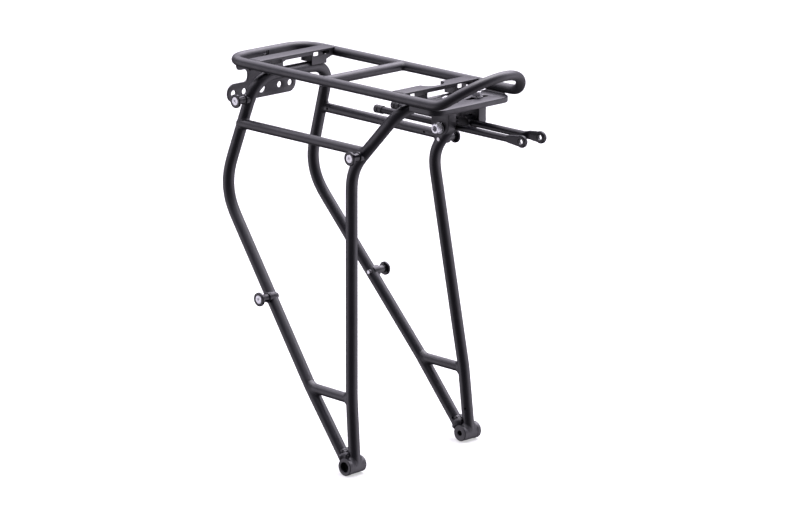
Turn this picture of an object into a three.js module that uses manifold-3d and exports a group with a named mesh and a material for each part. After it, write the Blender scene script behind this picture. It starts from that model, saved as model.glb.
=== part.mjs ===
// Rear rack for a bicycle: two bent-tube leg arches, a looped deck tube, pannier studs,
// a tail-light plate, and two adjustable stays at the front.
// Frame: +X forward along the bicycle, +Y to its left, +Z up; millimetres.
// Dimensions are measured from the middle of the line that joins the two foot bosses.
// The finished rack is then moved so that its origin is the bottom centre of its bounds.
import * as THREE from 'three';
import { mergeVertices } from 'three/addons/utils/BufferGeometryUtils.js';
import Module from 'manifold-3d';

const wasm = await Module();
wasm.setup();

// Clearance between two pieces that meet, and mesh fineness.
const GAP = 0.3;
const WELD_TOLERANCE = 1e-4;
const TUBE_SIDES = 12;
const BORE_SIDES = 8;
const TURNED_SIDES = 16;
const BEND_STEP = THREE.MathUtils.degToRad(15);
const SIDES = [{ name: 'left', sign: 1 }, { name: 'right', sign: -1 }];

// Tubes.
const LEG_R = 6;
const LEG_BORE_R = 4.6;
const RAIL_R = 5;
const RAIL_BORE_R = 3.7;
const VENT_R = 1.1;

// Deck loop: rear end, two rails and the raised hoop at the front.
const DECK_Z = 376.2;
const DECK_HALF = 55.3;
const DECK_REAR_X = -216;
const DECK_CORNER_R = 25;
const HOOP_START_X = 81.5;
const HOOP_TILT = THREE.MathUtils.degToRad(40);
const HOOP_LIFT_LENGTH = 14;
const HOOP_REACH = 48;
const HOOP_SIDE_HANDLE = 14.4;
const HOOP_TOP_HANDLE = 28.2;
const HOOP_STEPS = 11;
const CROSS_TUBE_X = -72;

// Leg arches, from the foot upwards, given for the left side.
const REAR_LEG = {
  foot: [-7.7, 82.6, 0],
  kink: [-64.9, 79.9, 68],
  bend: [-212.6, 61, 244.3],
  shoulder: [-174.5, 52, 363.3],
  bendRadius: 52,
  shoulderRadius: 26,
};
const FRONT_LEG = {
  foot: [2.7, 82.6, 0],
  kink: [-4.5, 80.6, 68],
  bend: [-30.7, 57.7, 293.7],
  shoulder: [31.4, 51.5, 364.5],
  bendRadius: 38,
  shoulderRadius: 22,
};
const KINK_RADIUS = 60;

// Rails and braces that tie the legs of one side together.
const SIDE_RAIL = { rear: [-190, 57.4, 314], front: [-12.9, 56, 314] };
const BRACE = { rear: [-64.2, 80.1, 67], front: [-4.5, 80.7, 67] };

// Foot bosses.
const BOSS_R = 8.8;
const BOSS_INNER_Y = 71.4;
const BOSS_OUTER_Y = 94.65;
const BOSS_COLLAR_R = 8.1;
const BOSS_COLLAR_LENGTH = 5.5;
const BOSS_HOLE_R = 2.75;
const BOSS_RECESS_R = 5.2;
const BOSS_RECESS_DEPTH = 6;
const GUSSET_THICKNESS = 7;

// Deck plates.
const PLATE_TOP_Z = 381.2;
const PLATE_THICKNESS = 1.6;
const PLATE_HALF = 53.2;
const REAR_PLATE = { rearX: -184, frontX: -167.7 };
const FRONT_PLATE = { rearX: 20, frontX: 36.3 };
const FLANGE_THICKNESS = 1.6;
const FLANGE_HALF = 49.9;
const WINDOW_HALF = 20.4;
const WINDOW_TOP_Z = 377;
const FLANGE_END_Y = 41;
const FLANGE_END_Z = 373;
const REAR_FLANGE_LOW_Z = 369;
const RIB_THICKNESS = 1.8;
const SIDE_SLOT = { from: 22.2, to: 44.6, low: 373, high: 378.9 };
const NOTCH_HALF = 14.5;
const NOTCH_DEPTH = 12;

// Tail-light plate.
const LIGHT_PLATE_X = -222.2;
const LIGHT_PLATE_THICKNESS = 2;
const LIGHT_HOLE_Z = 337.2;
const LIGHT_BAR_HALF = 48.4;
const LIGHT_BAR_R = 9.8;
const LIGHT_NECK_HALF = 20;
const LIGHT_TOP_HALF = 35.6;
const LIGHT_TOP_LOW_Z = 360;
const LIGHT_TOP_Z = 373.4;
const LIGHT_HOLE_R = 3.15;
const LIGHT_HOLES_Y = [-40, -25, 25, 40];
const LIGHT_CENTRE_HOLE_R = 5;

// Pannier studs: the place where each axis meets the outer face of its disc.
const STUDS = [
  { name: 'rear', at: [-182.6, 73.8, 340.2], legY: 53.8 },
  { name: 'front', at: [-16.4, 75.8, 310], legY: 56 },
  { name: 'lower', at: [-128.7, 91.4, 146.8], legY: 71.4 },
];
const STUD_DISC_R = 7.15;
const STUD_DISC_THICKNESS = 3;
const STUD_NECK_R = 3.9;
const STUD_FLANGE_R = 5;
const STUD_FLANGE_THICKNESS = 1.8;
const STUD_BORE_R = 2.6;
const STUD_SCREW_R = 2.3;
const STUD_HEAD_R = 5.2;
const STUD_HEAD_DEPTH = 2;
const STUD_RECESS_R = 5.5;
const STUD_SOCKET_R = 2.1;
const STUD_LUG_R = 3.6;
const STUD_LUG_LENGTH = 0.8;

// Bridge bar under the front of the deck, with one lateral slot for each stay bracket.
const BAR_REAR_X = 43.5;
const BAR_FRONT_X = 82.5;
const BAR_HALF = 54;
const BAR_CORNER_R = 14;
const BAR_TOP_Z = 370.7;
const BAR_LOW_Z = 364.9;
const BAR_SKIN = 3;
const SLOT_X = 63.2;
const SLOT_Y = 21.3;
const SLOT_HALF_LENGTH = 15.2;
const SLOT_R = 3.3;

// Stay brackets and their hardware.
const EAR_INNER_Y = 16;
const EAR_OUTER_Y = 26.7;
const EAR_TOP_Z = BAR_TOP_Z - BAR_SKIN - GAP;
const EAR_REAR_X = 47.3;
const EAR_FRONT_X = 71.4;
const EAR_LOW_Z = 340.2;
const PIVOT_X = 60;
const PIVOT_Z = 347;
const BARREL_R = 7;
const BARREL_INNER_Y = 6;
const BARREL_OUTER_Y = 22.4;
const M6_R = 2.9;
const M6_HOLE_R = 3.3;
const M6_HEAD_R = 4.9;
const M6_HEAD_HEIGHT = 5.6;
const M6_SOCKET_R = 2.9;
const WASHER_R = 6;
const WASHER_THICKNESS = 1.4;
const NUT_ACROSS_CORNERS_R = 5.6;
const NUT_HEIGHT = 4.6;
const STUD_LOW_Z = 356;

// Stays.
const STAY_Y = 12.2;
const STAY_R = 3.5;
const STAY_HOLE_R = 3.85;
const STAY_REAR_X = -42;
const STAY_FLAT_X = 142;
const EYELET_X = 156.2;
const EYELET_R = 6.1;
const EYELET_RISE = 0.6;
const EYELET_INNER_Y = 11.4;
const EYELET_HOLE_R = 2.75;
const EYELET_THICKNESS = 4.3;
const CAP_R = 4.2;
const CAP_REAR_X = -43.5;
const CAP_LENGTH = 11;

// Curve that visits a list of stations, one cross-section at each.
class StationPath extends THREE.Curve {
  constructor(stations) {
    super();
    this.stations = stations;
  }

  indexAt(u) {
    return Math.round(u * (this.stations.length - 1));
  }

  getPointAt(u) {
    return this.stations[this.indexAt(u)].clone();
  }

  getSpacedPoints() {
    return this.stations.map((station) => station.clone());
  }

  getTangentAt(u) {
    const index = this.indexAt(u);
    const tangent = new THREE.Vector3();
    if (index > 0) {
      tangent.add(this.direction(index - 1));
    }
    if (index < this.stations.length - 1) {
      tangent.add(this.direction(index));
    }
    return tangent.normalize();
  }

  direction(index) {
    return this.stations[index + 1].clone().sub(this.stations[index]).normalize();
  }
}

function toManifold(geometry) {
  const bare = new THREE.BufferGeometry();
  bare.setAttribute('position', geometry.getAttribute('position'));
  bare.setIndex(geometry.getIndex());
  const welded = mergeVertices(bare, WELD_TOLERANCE);
  const mesh = new wasm.Mesh({
    numProp: 3,
    vertProperties: Float32Array.from(welded.getAttribute('position').array),
    triVerts: Uint32Array.from(welded.getIndex().array),
  });
  return new wasm.Manifold(mesh);
}

function toGeometry(solid) {
  const mesh = solid.getMesh();
  const geometry = new THREE.BufferGeometry();
  geometry.setAttribute('position', new THREE.BufferAttribute(mesh.vertProperties, 3));
  geometry.setIndex(new THREE.BufferAttribute(mesh.triVerts, 1));
  geometry.computeVertexNormals();
  return geometry;
}

function circlePoints(radius, sides) {
  const points = [];
  for (let i = 0; i < sides; i += 1) {
    const angle = (2 * Math.PI * i) / sides;
    points.push(new THREE.Vector2(radius * Math.cos(angle), radius * Math.sin(angle)));
  }
  return points;
}

// Points mirrored to one side of the rack.
function place([x, y, z], sign = 1) {
  return new THREE.Vector3(x, y * sign, z);
}

// Round bend at a corner between two straight runs.
function bendStations(before, corner, after, radius) {
  const inward = corner.clone().sub(before).normalize();
  const outward = after.clone().sub(corner).normalize();
  const turn = inward.angleTo(outward);
  const start = corner.clone().addScaledVector(inward, -radius * Math.tan(turn / 2));
  const toCentre = outward.addScaledVector(inward, -Math.cos(turn)).normalize();
  const centre = start.clone().addScaledVector(toCentre, radius);
  const steps = Math.max(1, Math.ceil(turn / BEND_STEP));
  const stations = [];
  for (let i = 0; i <= steps; i += 1) {
    const angle = (turn * i) / steps;
    const station = centre.clone().addScaledVector(toCentre, -radius * Math.cos(angle));
    stations.push(station.addScaledVector(inward, radius * Math.sin(angle)));
  }
  return stations;
}

// Straight runs joined by bends; every inner point carries its bend radius.
function bentPath(corners) {
  const stations = [corners[0].at];
  for (let i = 1; i < corners.length - 1; i += 1) {
    const [before, corner, after] = corners.slice(i - 1, i + 2);
    stations.push(...bendStations(before.at, corner.at, after.at, corner.radius));
  }
  stations.push(corners[corners.length - 1].at);
  return stations;
}

function sweep(stations, outerR, boreR = 0, sides = TUBE_SIDES) {
  const section = new THREE.Shape(circlePoints(outerR, sides));
  if (boreR > 0) {
    section.holes.push(new THREE.Path(circlePoints(boreR, BORE_SIDES)));
  }
  const settings = { steps: stations.length - 1, extrudePath: new StationPath(stations) };
  return toManifold(new THREE.ExtrudeGeometry(section, settings));
}

function bar(from, to, radius, sides = TUBE_SIDES) {
  return sweep([from, to], radius, 0, sides);
}

// Turned piece: profile points are [radius, distance along the axis from the start].
function turned(profile, start, axis, sides = TURNED_SIDES) {
  const points = profile.map(([radius, along]) => new THREE.Vector2(radius, along));
  const geometry = new THREE.LatheGeometry(points, sides);
  const spin = new THREE.Quaternion().setFromUnitVectors(new THREE.Vector3(0, 1, 0), axis);
  geometry.applyQuaternion(spin);
  geometry.translate(start.x, start.y, start.z);
  return toManifold(geometry);
}

// Flat piece: the outline lies in the plane of the first two axes and grows along the third.
function prism(outline, thickness, origin, across, up) {
  const geometry = new THREE.ExtrudeGeometry(outline, {
    depth: thickness,
    bevelEnabled: false,
    curveSegments: 8,
  });
  const normal = new THREE.Vector3().crossVectors(across, up);
  const matrix = new THREE.Matrix4().makeBasis(across, up, normal).setPosition(origin);
  geometry.applyMatrix4(matrix);
  return toManifold(geometry);
}

const X_AXIS = new THREE.Vector3(1, 0, 0);
const Y_AXIS = new THREE.Vector3(0, 1, 0);
const Z_AXIS = new THREE.Vector3(0, 0, 1);

// Prism that stands on the ground plane: the outline is in X and Y.
function planPrism(outline, lowZ, highZ) {
  return prism(outline, highZ - lowZ, new THREE.Vector3(0, 0, lowZ), X_AXIS, Y_AXIS);
}

// Prism that faces forward: the outline is in Y and Z.
function facePrism(outline, rearX, frontX) {
  return prism(outline, frontX - rearX, new THREE.Vector3(rearX, 0, 0), Y_AXIS, Z_AXIS);
}

// Prism seen from the side: the outline is in X and Z, and it spans lowY to highY.
function sidePrism(outline, lowY, highY) {
  return prism(outline, highY - lowY, new THREE.Vector3(0, highY, 0), X_AXIS, Z_AXIS);
}

function outlineOf(points) {
  return new THREE.Shape(points.map(([x, y]) => new THREE.Vector2(x, y)));
}

function rectangle(lowX, highX, lowY, highY) {
  return outlineOf([[lowX, lowY], [highX, lowY], [highX, highY], [lowX, highY]]);
}

// ---------------------------------------------------------------- tubes

function legStations(leg) {
  const corners = [];
  for (const sign of [1, -1]) {
    const half = [
      { at: place(leg.foot, sign) },
      { at: place(leg.kink, sign), radius: KINK_RADIUS },
      { at: place(leg.bend, sign), radius: leg.bendRadius },
      { at: place(leg.shoulder, sign), radius: leg.shoulderRadius },
    ];
    corners.push(...(sign > 0 ? half : half.reverse()));
  }
  return bentPath(corners);
}

// Hoop stations from the end of one rail to the top of the hoop.
function hoopStations(sign) {
  const side = new THREE.CubicBezierCurve(
    new THREE.Vector2(0, DECK_HALF),
    new THREE.Vector2(HOOP_SIDE_HANDLE, DECK_HALF),
    new THREE.Vector2(HOOP_REACH, HOOP_TOP_HANDLE),
    new THREE.Vector2(HOOP_REACH, 0),
  );
  const stations = [new THREE.Vector3(HOOP_START_X, DECK_HALF * sign, DECK_Z)];
  let travelled = 0;
  for (let i = 1; i <= HOOP_STEPS; i += 1) {
    const point = side.getPoint(i / HOOP_STEPS);
    const tilt = HOOP_TILT * Math.min(1, point.x / HOOP_LIFT_LENGTH);
    const last = stations[stations.length - 1];
    const advance = point.x - travelled;
    const x = last.x + advance * Math.cos(tilt);
    const z = last.z + advance * Math.sin(tilt);
    stations.push(new THREE.Vector3(x, point.y * sign, z));
    travelled = point.x;
  }
  return stations;
}

function deckHalfStations(sign) {
  const rear = bentPath([
    { at: place([DECK_REAR_X, 0, DECK_Z], sign) },
    { at: place([DECK_REAR_X, DECK_HALF, DECK_Z], sign), radius: DECK_CORNER_R },
    { at: place([HOOP_START_X - RAIL_R, DECK_HALF, DECK_Z], sign) },
  ]);
  return [...rear, ...hoopStations(sign)];
}

function deckLoop(radius, boreR) {
  const halves = SIDES.map(({ sign }) => sweep(deckHalfStations(sign), radius, boreR));
  return halves[0].add(halves[1]);
}

const legPaths = { rear: legStations(REAR_LEG), front: legStations(FRONT_LEG) };
const clearOf = {
  rearLeg: sweep(legPaths.rear, LEG_R + GAP),
  frontLeg: sweep(legPaths.front, LEG_R + GAP),
  deck: deckLoop(RAIL_R + GAP, 0),
};

function bossBlank(sign, radius) {
  const from = new THREE.Vector3(0, BOSS_INNER_Y * sign, 0);
  const to = new THREE.Vector3(0, BOSS_OUTER_Y * sign, 0);
  return bar(from, to, radius, TURNED_SIDES);
}

function studLine(stud, sign, fromY, toY, radius, sides = BORE_SIDES) {
  const [x, , z] = stud.at;
  const from = new THREE.Vector3(x, fromY * sign, z);
  const to = new THREE.Vector3(x, toY * sign, z);
  return bar(from, to, radius, sides);
}

// Cross holes for the studs that one leg carries.
function drillForStuds(leg, studs) {
  let drilled = leg;
  for (const stud of studs) {
    for (const { sign } of SIDES) {
      const innerY = stud.legY - 2 * LEG_R;
      drilled = drilled.subtract(studLine(stud, sign, innerY, stud.at[1], STUD_BORE_R));
    }
  }
  return drilled;
}

function ventAt([x, y, z], sign, inward) {
  const from = new THREE.Vector3(x, y * sign, z);
  const to = new THREE.Vector3(x, (y - inward) * sign, z);
  return bar(from, to, VENT_R, BORE_SIDES);
}

function makeLeg(path, studs, vent, neighbour) {
  let leg = drillForStuds(sweep(path, LEG_R, LEG_BORE_R), studs);
  for (const { sign } of SIDES) {
    leg = leg.subtract(bossBlank(sign, BOSS_R + GAP));
    leg = leg.subtract(ventAt(vent, sign, 2 * LEG_R));
  }
  if (neighbour) {
    leg = leg.subtract(neighbour);
  }
  return largestBody(leg);
}

// Offcuts left by a coping cut are dropped.
function largestBody(solid) {
  const bodies = solid.decompose();
  bodies.sort((a, b) => b.volume() - a.volume());
  return bodies[0];
}

function copedTube(ends, sign, radius, boreR) {
  const tube = sweep([place(ends.rear, sign), place(ends.front, sign)], radius, boreR);
  return tube.subtract(clearOf.rearLeg).subtract(clearOf.frontLeg);
}

function makeSideRail(sign) {
  let rail = copedTube(SIDE_RAIL, sign, RAIL_R, RAIL_BORE_R);
  for (const stud of STUDS) {
    const clearR = STUD_FLANGE_R + 1.5 * GAP;
    const innerY = stud.legY - 2 * LEG_R;
    rail = rail.subtract(studLine(stud, sign, innerY, stud.at[1], clearR, TURNED_SIDES));
  }
  for (const x of [SIDE_RAIL.rear[0] + 3 * RAIL_R, SIDE_RAIL.front[0] - 5 * RAIL_R]) {
    rail = rail.subtract(ventAt([x, SIDE_RAIL.front[1], SIDE_RAIL.front[2]], sign, 2 * RAIL_R));
  }
  return rail;
}

function makeDeckLoop() {
  let deck = deckLoop(RAIL_R, RAIL_BORE_R);
  for (const { sign } of SIDES) {
    deck = deck.subtract(ventAt([CROSS_TUBE_X, DECK_HALF, DECK_Z], sign, 2 * RAIL_R));
  }
  return deck;
}

function makeCrossTube() {
  const ends = SIDES.map(({ sign }) => place([CROSS_TUBE_X, DECK_HALF - 1, DECK_Z], sign));
  return sweep(ends, RAIL_R, RAIL_BORE_R).subtract(clearOf.deck);
}

// ---------------------------------------------------------------- feet

function makeBoss(sign) {
  const length = BOSS_OUTER_Y - BOSS_INNER_Y;
  const profile = [
    [BOSS_HOLE_R, 0],
    [BOSS_COLLAR_R, 0],
    [BOSS_COLLAR_R, BOSS_COLLAR_LENGTH],
    [BOSS_R, BOSS_COLLAR_LENGTH + 0.7],
    [BOSS_R, length - 0.8],
    [BOSS_R - 0.8, length],
    [BOSS_RECESS_R, length],
    [BOSS_RECESS_R, length - BOSS_RECESS_DEPTH],
    [BOSS_HOLE_R, length - BOSS_RECESS_DEPTH],
    [BOSS_HOLE_R, 0],
  ];
  const start = new THREE.Vector3(0, BOSS_INNER_Y * sign, 0);
  return turned(profile, start, new THREE.Vector3(0, sign, 0));
}

// Web that fills the crotch between the two legs above the boss.
function makeGusset(sign) {
  const web = outlineOf([[-24, 4], [4, 4], [2, 14.5], [-20, 14.5]]);
  const middle = 82.6 * sign;
  const half = GUSSET_THICKNESS / 2;
  const blank = sidePrism(web, middle - half, middle + half);
  const legsAway = blank.subtract(clearOf.rearLeg).subtract(clearOf.frontLeg);
  return largestBody(legsAway.subtract(bossBlank(sign, BOSS_R + GAP)));
}

// ---------------------------------------------------------------- deck plates

// Top of a deck plate with the round hand notch in its rear edge.
function plateOutline({ rearX, frontX }, notched) {
  const outline = new THREE.Shape();
  outline.moveTo(rearX, -PLATE_HALF);
  outline.lineTo(frontX, -PLATE_HALF);
  outline.lineTo(frontX, PLATE_HALF);
  outline.lineTo(rearX, PLATE_HALF);
  if (notched) {
    outline.lineTo(rearX, NOTCH_HALF);
    outline.quadraticCurveTo(rearX + NOTCH_DEPTH, NOTCH_HALF, rearX + NOTCH_DEPTH, 0);
    outline.quadraticCurveTo(rearX + NOTCH_DEPTH, -NOTCH_HALF, rearX, -NOTCH_HALF);
  }
  return outline;
}

// Half of the flange at the front edge; its lower edge follows the shoulder of the arch.
function frontFlange(sign, arch) {
  const low = arch.shoulder[2] + LEG_R + GAP;
  const centreY = arch.shoulder[1] - arch.shoulderRadius;
  const centreZ = arch.shoulder[2] - arch.shoulderRadius;
  const radius = arch.shoulderRadius + LEG_R + GAP;
  const points = [
    [0, PLATE_TOP_Z],
    [0, WINDOW_TOP_Z],
    [WINDOW_HALF, WINDOW_TOP_Z],
    [WINDOW_HALF, low],
  ];
  for (let y = centreY; y < FLANGE_END_Y; y += 4) {
    points.push([y, centreZ + Math.sqrt(radius * radius - (y - centreY) ** 2)]);
  }
  const lastZ = centreZ + Math.sqrt(radius * radius - (FLANGE_END_Y - centreY) ** 2);
  points.push([FLANGE_END_Y, lastZ], [FLANGE_HALF, FLANGE_END_Z], [FLANGE_HALF, PLATE_TOP_Z]);
  return outlineOf(points.map(([y, z]) => [y * sign, z]));
}

// Rectangle on one side of the middle plane, from nearY to farY.
function sideRectangle(sign, nearY, farY, lowZ, highZ) {
  const [low, high] = [nearY * sign, farY * sign].sort((a, b) => a - b);
  return rectangle(low, high, lowZ, highZ);
}

// Sheet with a flange along each edge and, beside the window, a rib that ties the flanges.
function makeDeckPlate(sizes, arch, notched) {
  const { frontX, rearX } = sizes;
  const ribOuterY = WINDOW_HALF + RIB_THICKNESS;
  let plate = planPrism(plateOutline(sizes, notched), PLATE_TOP_Z - PLATE_THICKNESS, PLATE_TOP_Z);
  for (const { sign } of SIDES) {
    const rear = sideRectangle(sign, WINDOW_HALF, FLANGE_HALF, REAR_FLANGE_LOW_Z, PLATE_TOP_Z);
    const rib = sideRectangle(sign, WINDOW_HALF, ribOuterY, REAR_FLANGE_LOW_Z, PLATE_TOP_Z);
    plate = plate.add(facePrism(frontFlange(sign, arch), frontX - FLANGE_THICKNESS, frontX));
    plate = plate.add(facePrism(rear, rearX, rearX + FLANGE_THICKNESS));
    plate = plate.add(facePrism(rib, rearX, frontX));
    const slot = sideRectangle(sign, SIDE_SLOT.from, SIDE_SLOT.to, SIDE_SLOT.low, SIDE_SLOT.high);
    plate = plate.subtract(facePrism(slot, rearX - 1, frontX + 1));
  }
  const clear = plate.subtract(clearOf.deck).subtract(clearOf.rearLeg).subtract(clearOf.frontLeg);
  return largestBody(clear);
}

// ---------------------------------------------------------------- tail-light plate

function lightPlateOutline() {
  const low = LIGHT_HOLE_Z - LIGHT_BAR_R;
  const high = LIGHT_HOLE_Z + LIGHT_BAR_R;
  const waist = 5;
  const outline = new THREE.Shape();
  outline.moveTo(-LIGHT_BAR_HALF + LIGHT_BAR_R, low);
  outline.lineTo(LIGHT_BAR_HALF - LIGHT_BAR_R, low);
  outline.absarc(LIGHT_BAR_HALF - LIGHT_BAR_R, LIGHT_HOLE_Z, LIGHT_BAR_R, -Math.PI / 2, Math.PI / 2);
  outline.lineTo(LIGHT_NECK_HALF + waist, high);
  outline.quadraticCurveTo(LIGHT_NECK_HALF, high, LIGHT_NECK_HALF, high + waist);
  outline.lineTo(LIGHT_NECK_HALF, LIGHT_TOP_LOW_Z - waist);
  outline.quadraticCurveTo(LIGHT_NECK_HALF, LIGHT_TOP_LOW_Z, LIGHT_NECK_HALF + waist, LIGHT_TOP_LOW_Z);
  outline.lineTo(LIGHT_TOP_HALF, LIGHT_TOP_LOW_Z);
  outline.lineTo(LIGHT_TOP_HALF, LIGHT_TOP_Z);
  outline.lineTo(-LIGHT_TOP_HALF, LIGHT_TOP_Z);
  outline.lineTo(-LIGHT_TOP_HALF, LIGHT_TOP_LOW_Z);
  outline.lineTo(-LIGHT_NECK_HALF - waist, LIGHT_TOP_LOW_Z);
  outline.quadraticCurveTo(-LIGHT_NECK_HALF, LIGHT_TOP_LOW_Z, -LIGHT_NECK_HALF, LIGHT_TOP_LOW_Z - waist);
  outline.lineTo(-LIGHT_NECK_HALF, high + waist);
  outline.quadraticCurveTo(-LIGHT_NECK_HALF, high, -LIGHT_NECK_HALF - waist, high);
  outline.lineTo(-LIGHT_BAR_HALF + LIGHT_BAR_R, high);
  outline.absarc(-LIGHT_BAR_HALF + LIGHT_BAR_R, LIGHT_HOLE_Z, LIGHT_BAR_R, Math.PI / 2, 1.5 * Math.PI);
  return outline;
}

function makeLightPlate() {
  const outline = lightPlateOutline();
  for (const y of LIGHT_HOLES_Y) {
    const hole = new THREE.Path().absarc(y, LIGHT_HOLE_Z, LIGHT_HOLE_R, 0, 2 * Math.PI);
    outline.holes.push(hole);
  }
  const centre = new THREE.Path().absarc(0, LIGHT_HOLE_Z, LIGHT_CENTRE_HOLE_R, 0, 2 * Math.PI);
  outline.holes.push(centre);
  const plate = facePrism(outline, LIGHT_PLATE_X, LIGHT_PLATE_X + LIGHT_PLATE_THICKNESS);
  return plate.subtract(clearOf.deck);
}

// Small upturned tab on the rear end tube that holds a lamp cable.
function makeCableHook() {
  const side = outlineOf([[-214, 375], [-202, 375], [-202, 381.5], [-204, 381.5], [-204, 377], [-214, 377]]);
  return sidePrism(side, -10, -7).subtract(clearOf.deck);
}

// ---------------------------------------------------------------- pannier studs

function makeStudPost(stud, sign) {
  const [x, outerY, z] = stud.at;
  const length = outerY - stud.legY;
  const neckEnd = length - STUD_DISC_THICKNESS;
  const flangeEnd = LEG_R + STUD_FLANGE_THICKNESS;
  const recess = length - STUD_HEAD_DEPTH;
  const profile = [
    [STUD_BORE_R, 0],
    [STUD_FLANGE_R, 0],
    [STUD_FLANGE_R, flangeEnd],
    [STUD_NECK_R, flangeEnd + 1],
    [STUD_NECK_R, neckEnd - 0.6],
    [STUD_DISC_R - 0.6, neckEnd],
    [STUD_DISC_R, neckEnd + 0.6],
    [STUD_DISC_R, length - 0.6],
    [STUD_DISC_R - 0.6, length],
    [STUD_RECESS_R, length],
    [STUD_RECESS_R, recess],
    [STUD_BORE_R, recess],
    [STUD_BORE_R, 0],
  ];
  const start = new THREE.Vector3(x, stud.legY * sign, z);
  const post = turned(profile, start, new THREE.Vector3(0, sign, 0));
  return largestBody(post.subtract(clearOf.rearLeg).subtract(clearOf.frontLeg));
}

function makeStudScrew(stud, sign) {
  const [x, outerY, z] = stud.at;
  const tipY = stud.legY - LEG_R - STUD_LUG_LENGTH - 2 * GAP;
  const length = outerY - tipY;
  const seat = length - STUD_HEAD_DEPTH + GAP;
  const profile = [
    [0, 0],
    [STUD_SCREW_R, 0],
    [STUD_SCREW_R, seat],
    [STUD_HEAD_R, seat],
    [STUD_HEAD_R, length],
    [STUD_SOCKET_R, length],
    [STUD_SOCKET_R, length - 1.2],
    [0, length - 1.2],
  ];
  return turned(profile, new THREE.Vector3(x, tipY * sign, z), new THREE.Vector3(0, sign, 0));
}

function makeStudLug(stud, sign) {
  const [x, , z] = stud.at;
  const endY = stud.legY - LEG_R - STUD_LUG_LENGTH;
  const length = LEG_R + STUD_LUG_LENGTH;
  const profile = [
    [STUD_BORE_R, 0],
    [STUD_LUG_R - 0.5, 0],
    [STUD_LUG_R, 0.5],
    [STUD_LUG_R, length],
    [STUD_BORE_R, length],
    [STUD_BORE_R, 0],
  ];
  const start = new THREE.Vector3(x, endY * sign, z);
  const lug = turned(profile, start, new THREE.Vector3(0, sign, 0));
  const clear = lug.subtract(clearOf.rearLeg).subtract(clearOf.frontLeg);
  return bodyNearestMiddle(clear);
}

function bodyNearestMiddle(solid) {
  const reach = (body) => {
    const { min, max } = body.boundingBox();
    return Math.abs(min[1] + max[1]);
  };
  return solid.decompose().sort((a, b) => reach(a) - reach(b))[0];
}

// ---------------------------------------------------------------- bridge bar and stay brackets

// Outline of the bar seen from above, shrunk by an inset on every side.
function barOutline(inset) {
  const rear = BAR_REAR_X + inset;
  const front = BAR_FRONT_X - inset;
  const half = BAR_HALF - inset;
  const corner = BAR_CORNER_R - inset;
  const outline = new THREE.Shape();
  outline.moveTo(rear, -half);
  outline.lineTo(front - corner, -half);
  outline.absarc(front - corner, -half + corner, corner, -Math.PI / 2, 0);
  outline.lineTo(front, half - corner);
  outline.absarc(front - corner, half - corner, corner, 0, Math.PI / 2);
  outline.lineTo(rear, half);
  return outline;
}

function slotOutline(sign) {
  const low = SLOT_Y * sign - SLOT_HALF_LENGTH + SLOT_R;
  const high = SLOT_Y * sign + SLOT_HALF_LENGTH - SLOT_R;
  const outline = new THREE.Shape();
  outline.absarc(SLOT_X, high, SLOT_R, 0, Math.PI);
  outline.absarc(SLOT_X, low, SLOT_R, Math.PI, 2 * Math.PI);
  return outline;
}

function makeBridgeBar() {
  const skinZ = BAR_TOP_Z - BAR_SKIN;
  let tray = planPrism(barOutline(0), BAR_LOW_Z, BAR_TOP_Z);
  tray = tray.subtract(planPrism(barOutline(BAR_SKIN - 0.5), BAR_LOW_Z - 1, skinZ));
  for (const { sign } of SIDES) {
    tray = tray.subtract(planPrism(slotOutline(sign), skinZ - 1, BAR_TOP_Z + 1));
  }
  return tray.subtract(clearOf.deck);
}

function earOutline() {
  const outline = new THREE.Shape();
  outline.moveTo(EAR_REAR_X, EAR_TOP_Z);
  outline.lineTo(EAR_REAR_X + 1, PIVOT_Z);
  outline.quadraticCurveTo(EAR_REAR_X + 1.6, EAR_LOW_Z, PIVOT_X - 3, EAR_LOW_Z);
  outline.lineTo(PIVOT_X + 4, EAR_LOW_Z);
  outline.quadraticCurveTo(EAR_FRONT_X - 1, EAR_LOW_Z + 1, EAR_FRONT_X, PIVOT_Z - 1);
  outline.lineTo(EAR_FRONT_X, EAR_TOP_Z);
  return outline;
}

function pivotBar(sign, fromY, toY, radius, sides) {
  const from = new THREE.Vector3(PIVOT_X, fromY * sign, PIVOT_Z);
  const to = new THREE.Vector3(PIVOT_X, toY * sign, PIVOT_Z);
  return bar(from, to, radius, sides);
}

function makeEar(sign) {
  const [low, high] = [EAR_INNER_Y * sign, EAR_OUTER_Y * sign].sort((a, b) => a - b);
  let ear = sidePrism(earOutline(), low, high);
  ear = ear.subtract(pivotBar(sign, 0, BARREL_OUTER_Y + GAP, BARREL_R + GAP, TURNED_SIDES));
  ear = ear.subtract(pivotBar(sign, 0, 2 * EAR_OUTER_Y, M6_HOLE_R, BORE_SIDES));
  const stemFoot = new THREE.Vector3(SLOT_X, SLOT_Y * sign, STUD_LOW_Z - GAP);
  const stemHead = new THREE.Vector3(SLOT_X, SLOT_Y * sign, BAR_TOP_Z);
  return ear.subtract(bar(stemFoot, stemHead, M6_HOLE_R, BORE_SIDES));
}

function makeSlotStem(sign) {
  const foot = new THREE.Vector3(SLOT_X, SLOT_Y * sign, STUD_LOW_Z);
  const height = BAR_TOP_Z + WASHER_THICKNESS + NUT_HEIGHT + 1.5 - STUD_LOW_Z;
  const profile = [[0, 0], [M6_R, 0], [M6_R, height - 0.6], [M6_R - 0.6, height], [0, height]];
  return turned(profile, foot, Z_AXIS, TUBE_SIDES);
}

function ringProfile(innerR, outerR, thickness) {
  return [[innerR, 0], [outerR, 0], [outerR, thickness], [innerR, thickness], [innerR, 0]];
}

function makeSlotWasher(sign) {
  const seat = new THREE.Vector3(SLOT_X, SLOT_Y * sign, BAR_TOP_Z + GAP);
  return turned(ringProfile(M6_HOLE_R, WASHER_R, WASHER_THICKNESS - GAP), seat, Z_AXIS);
}

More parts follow.
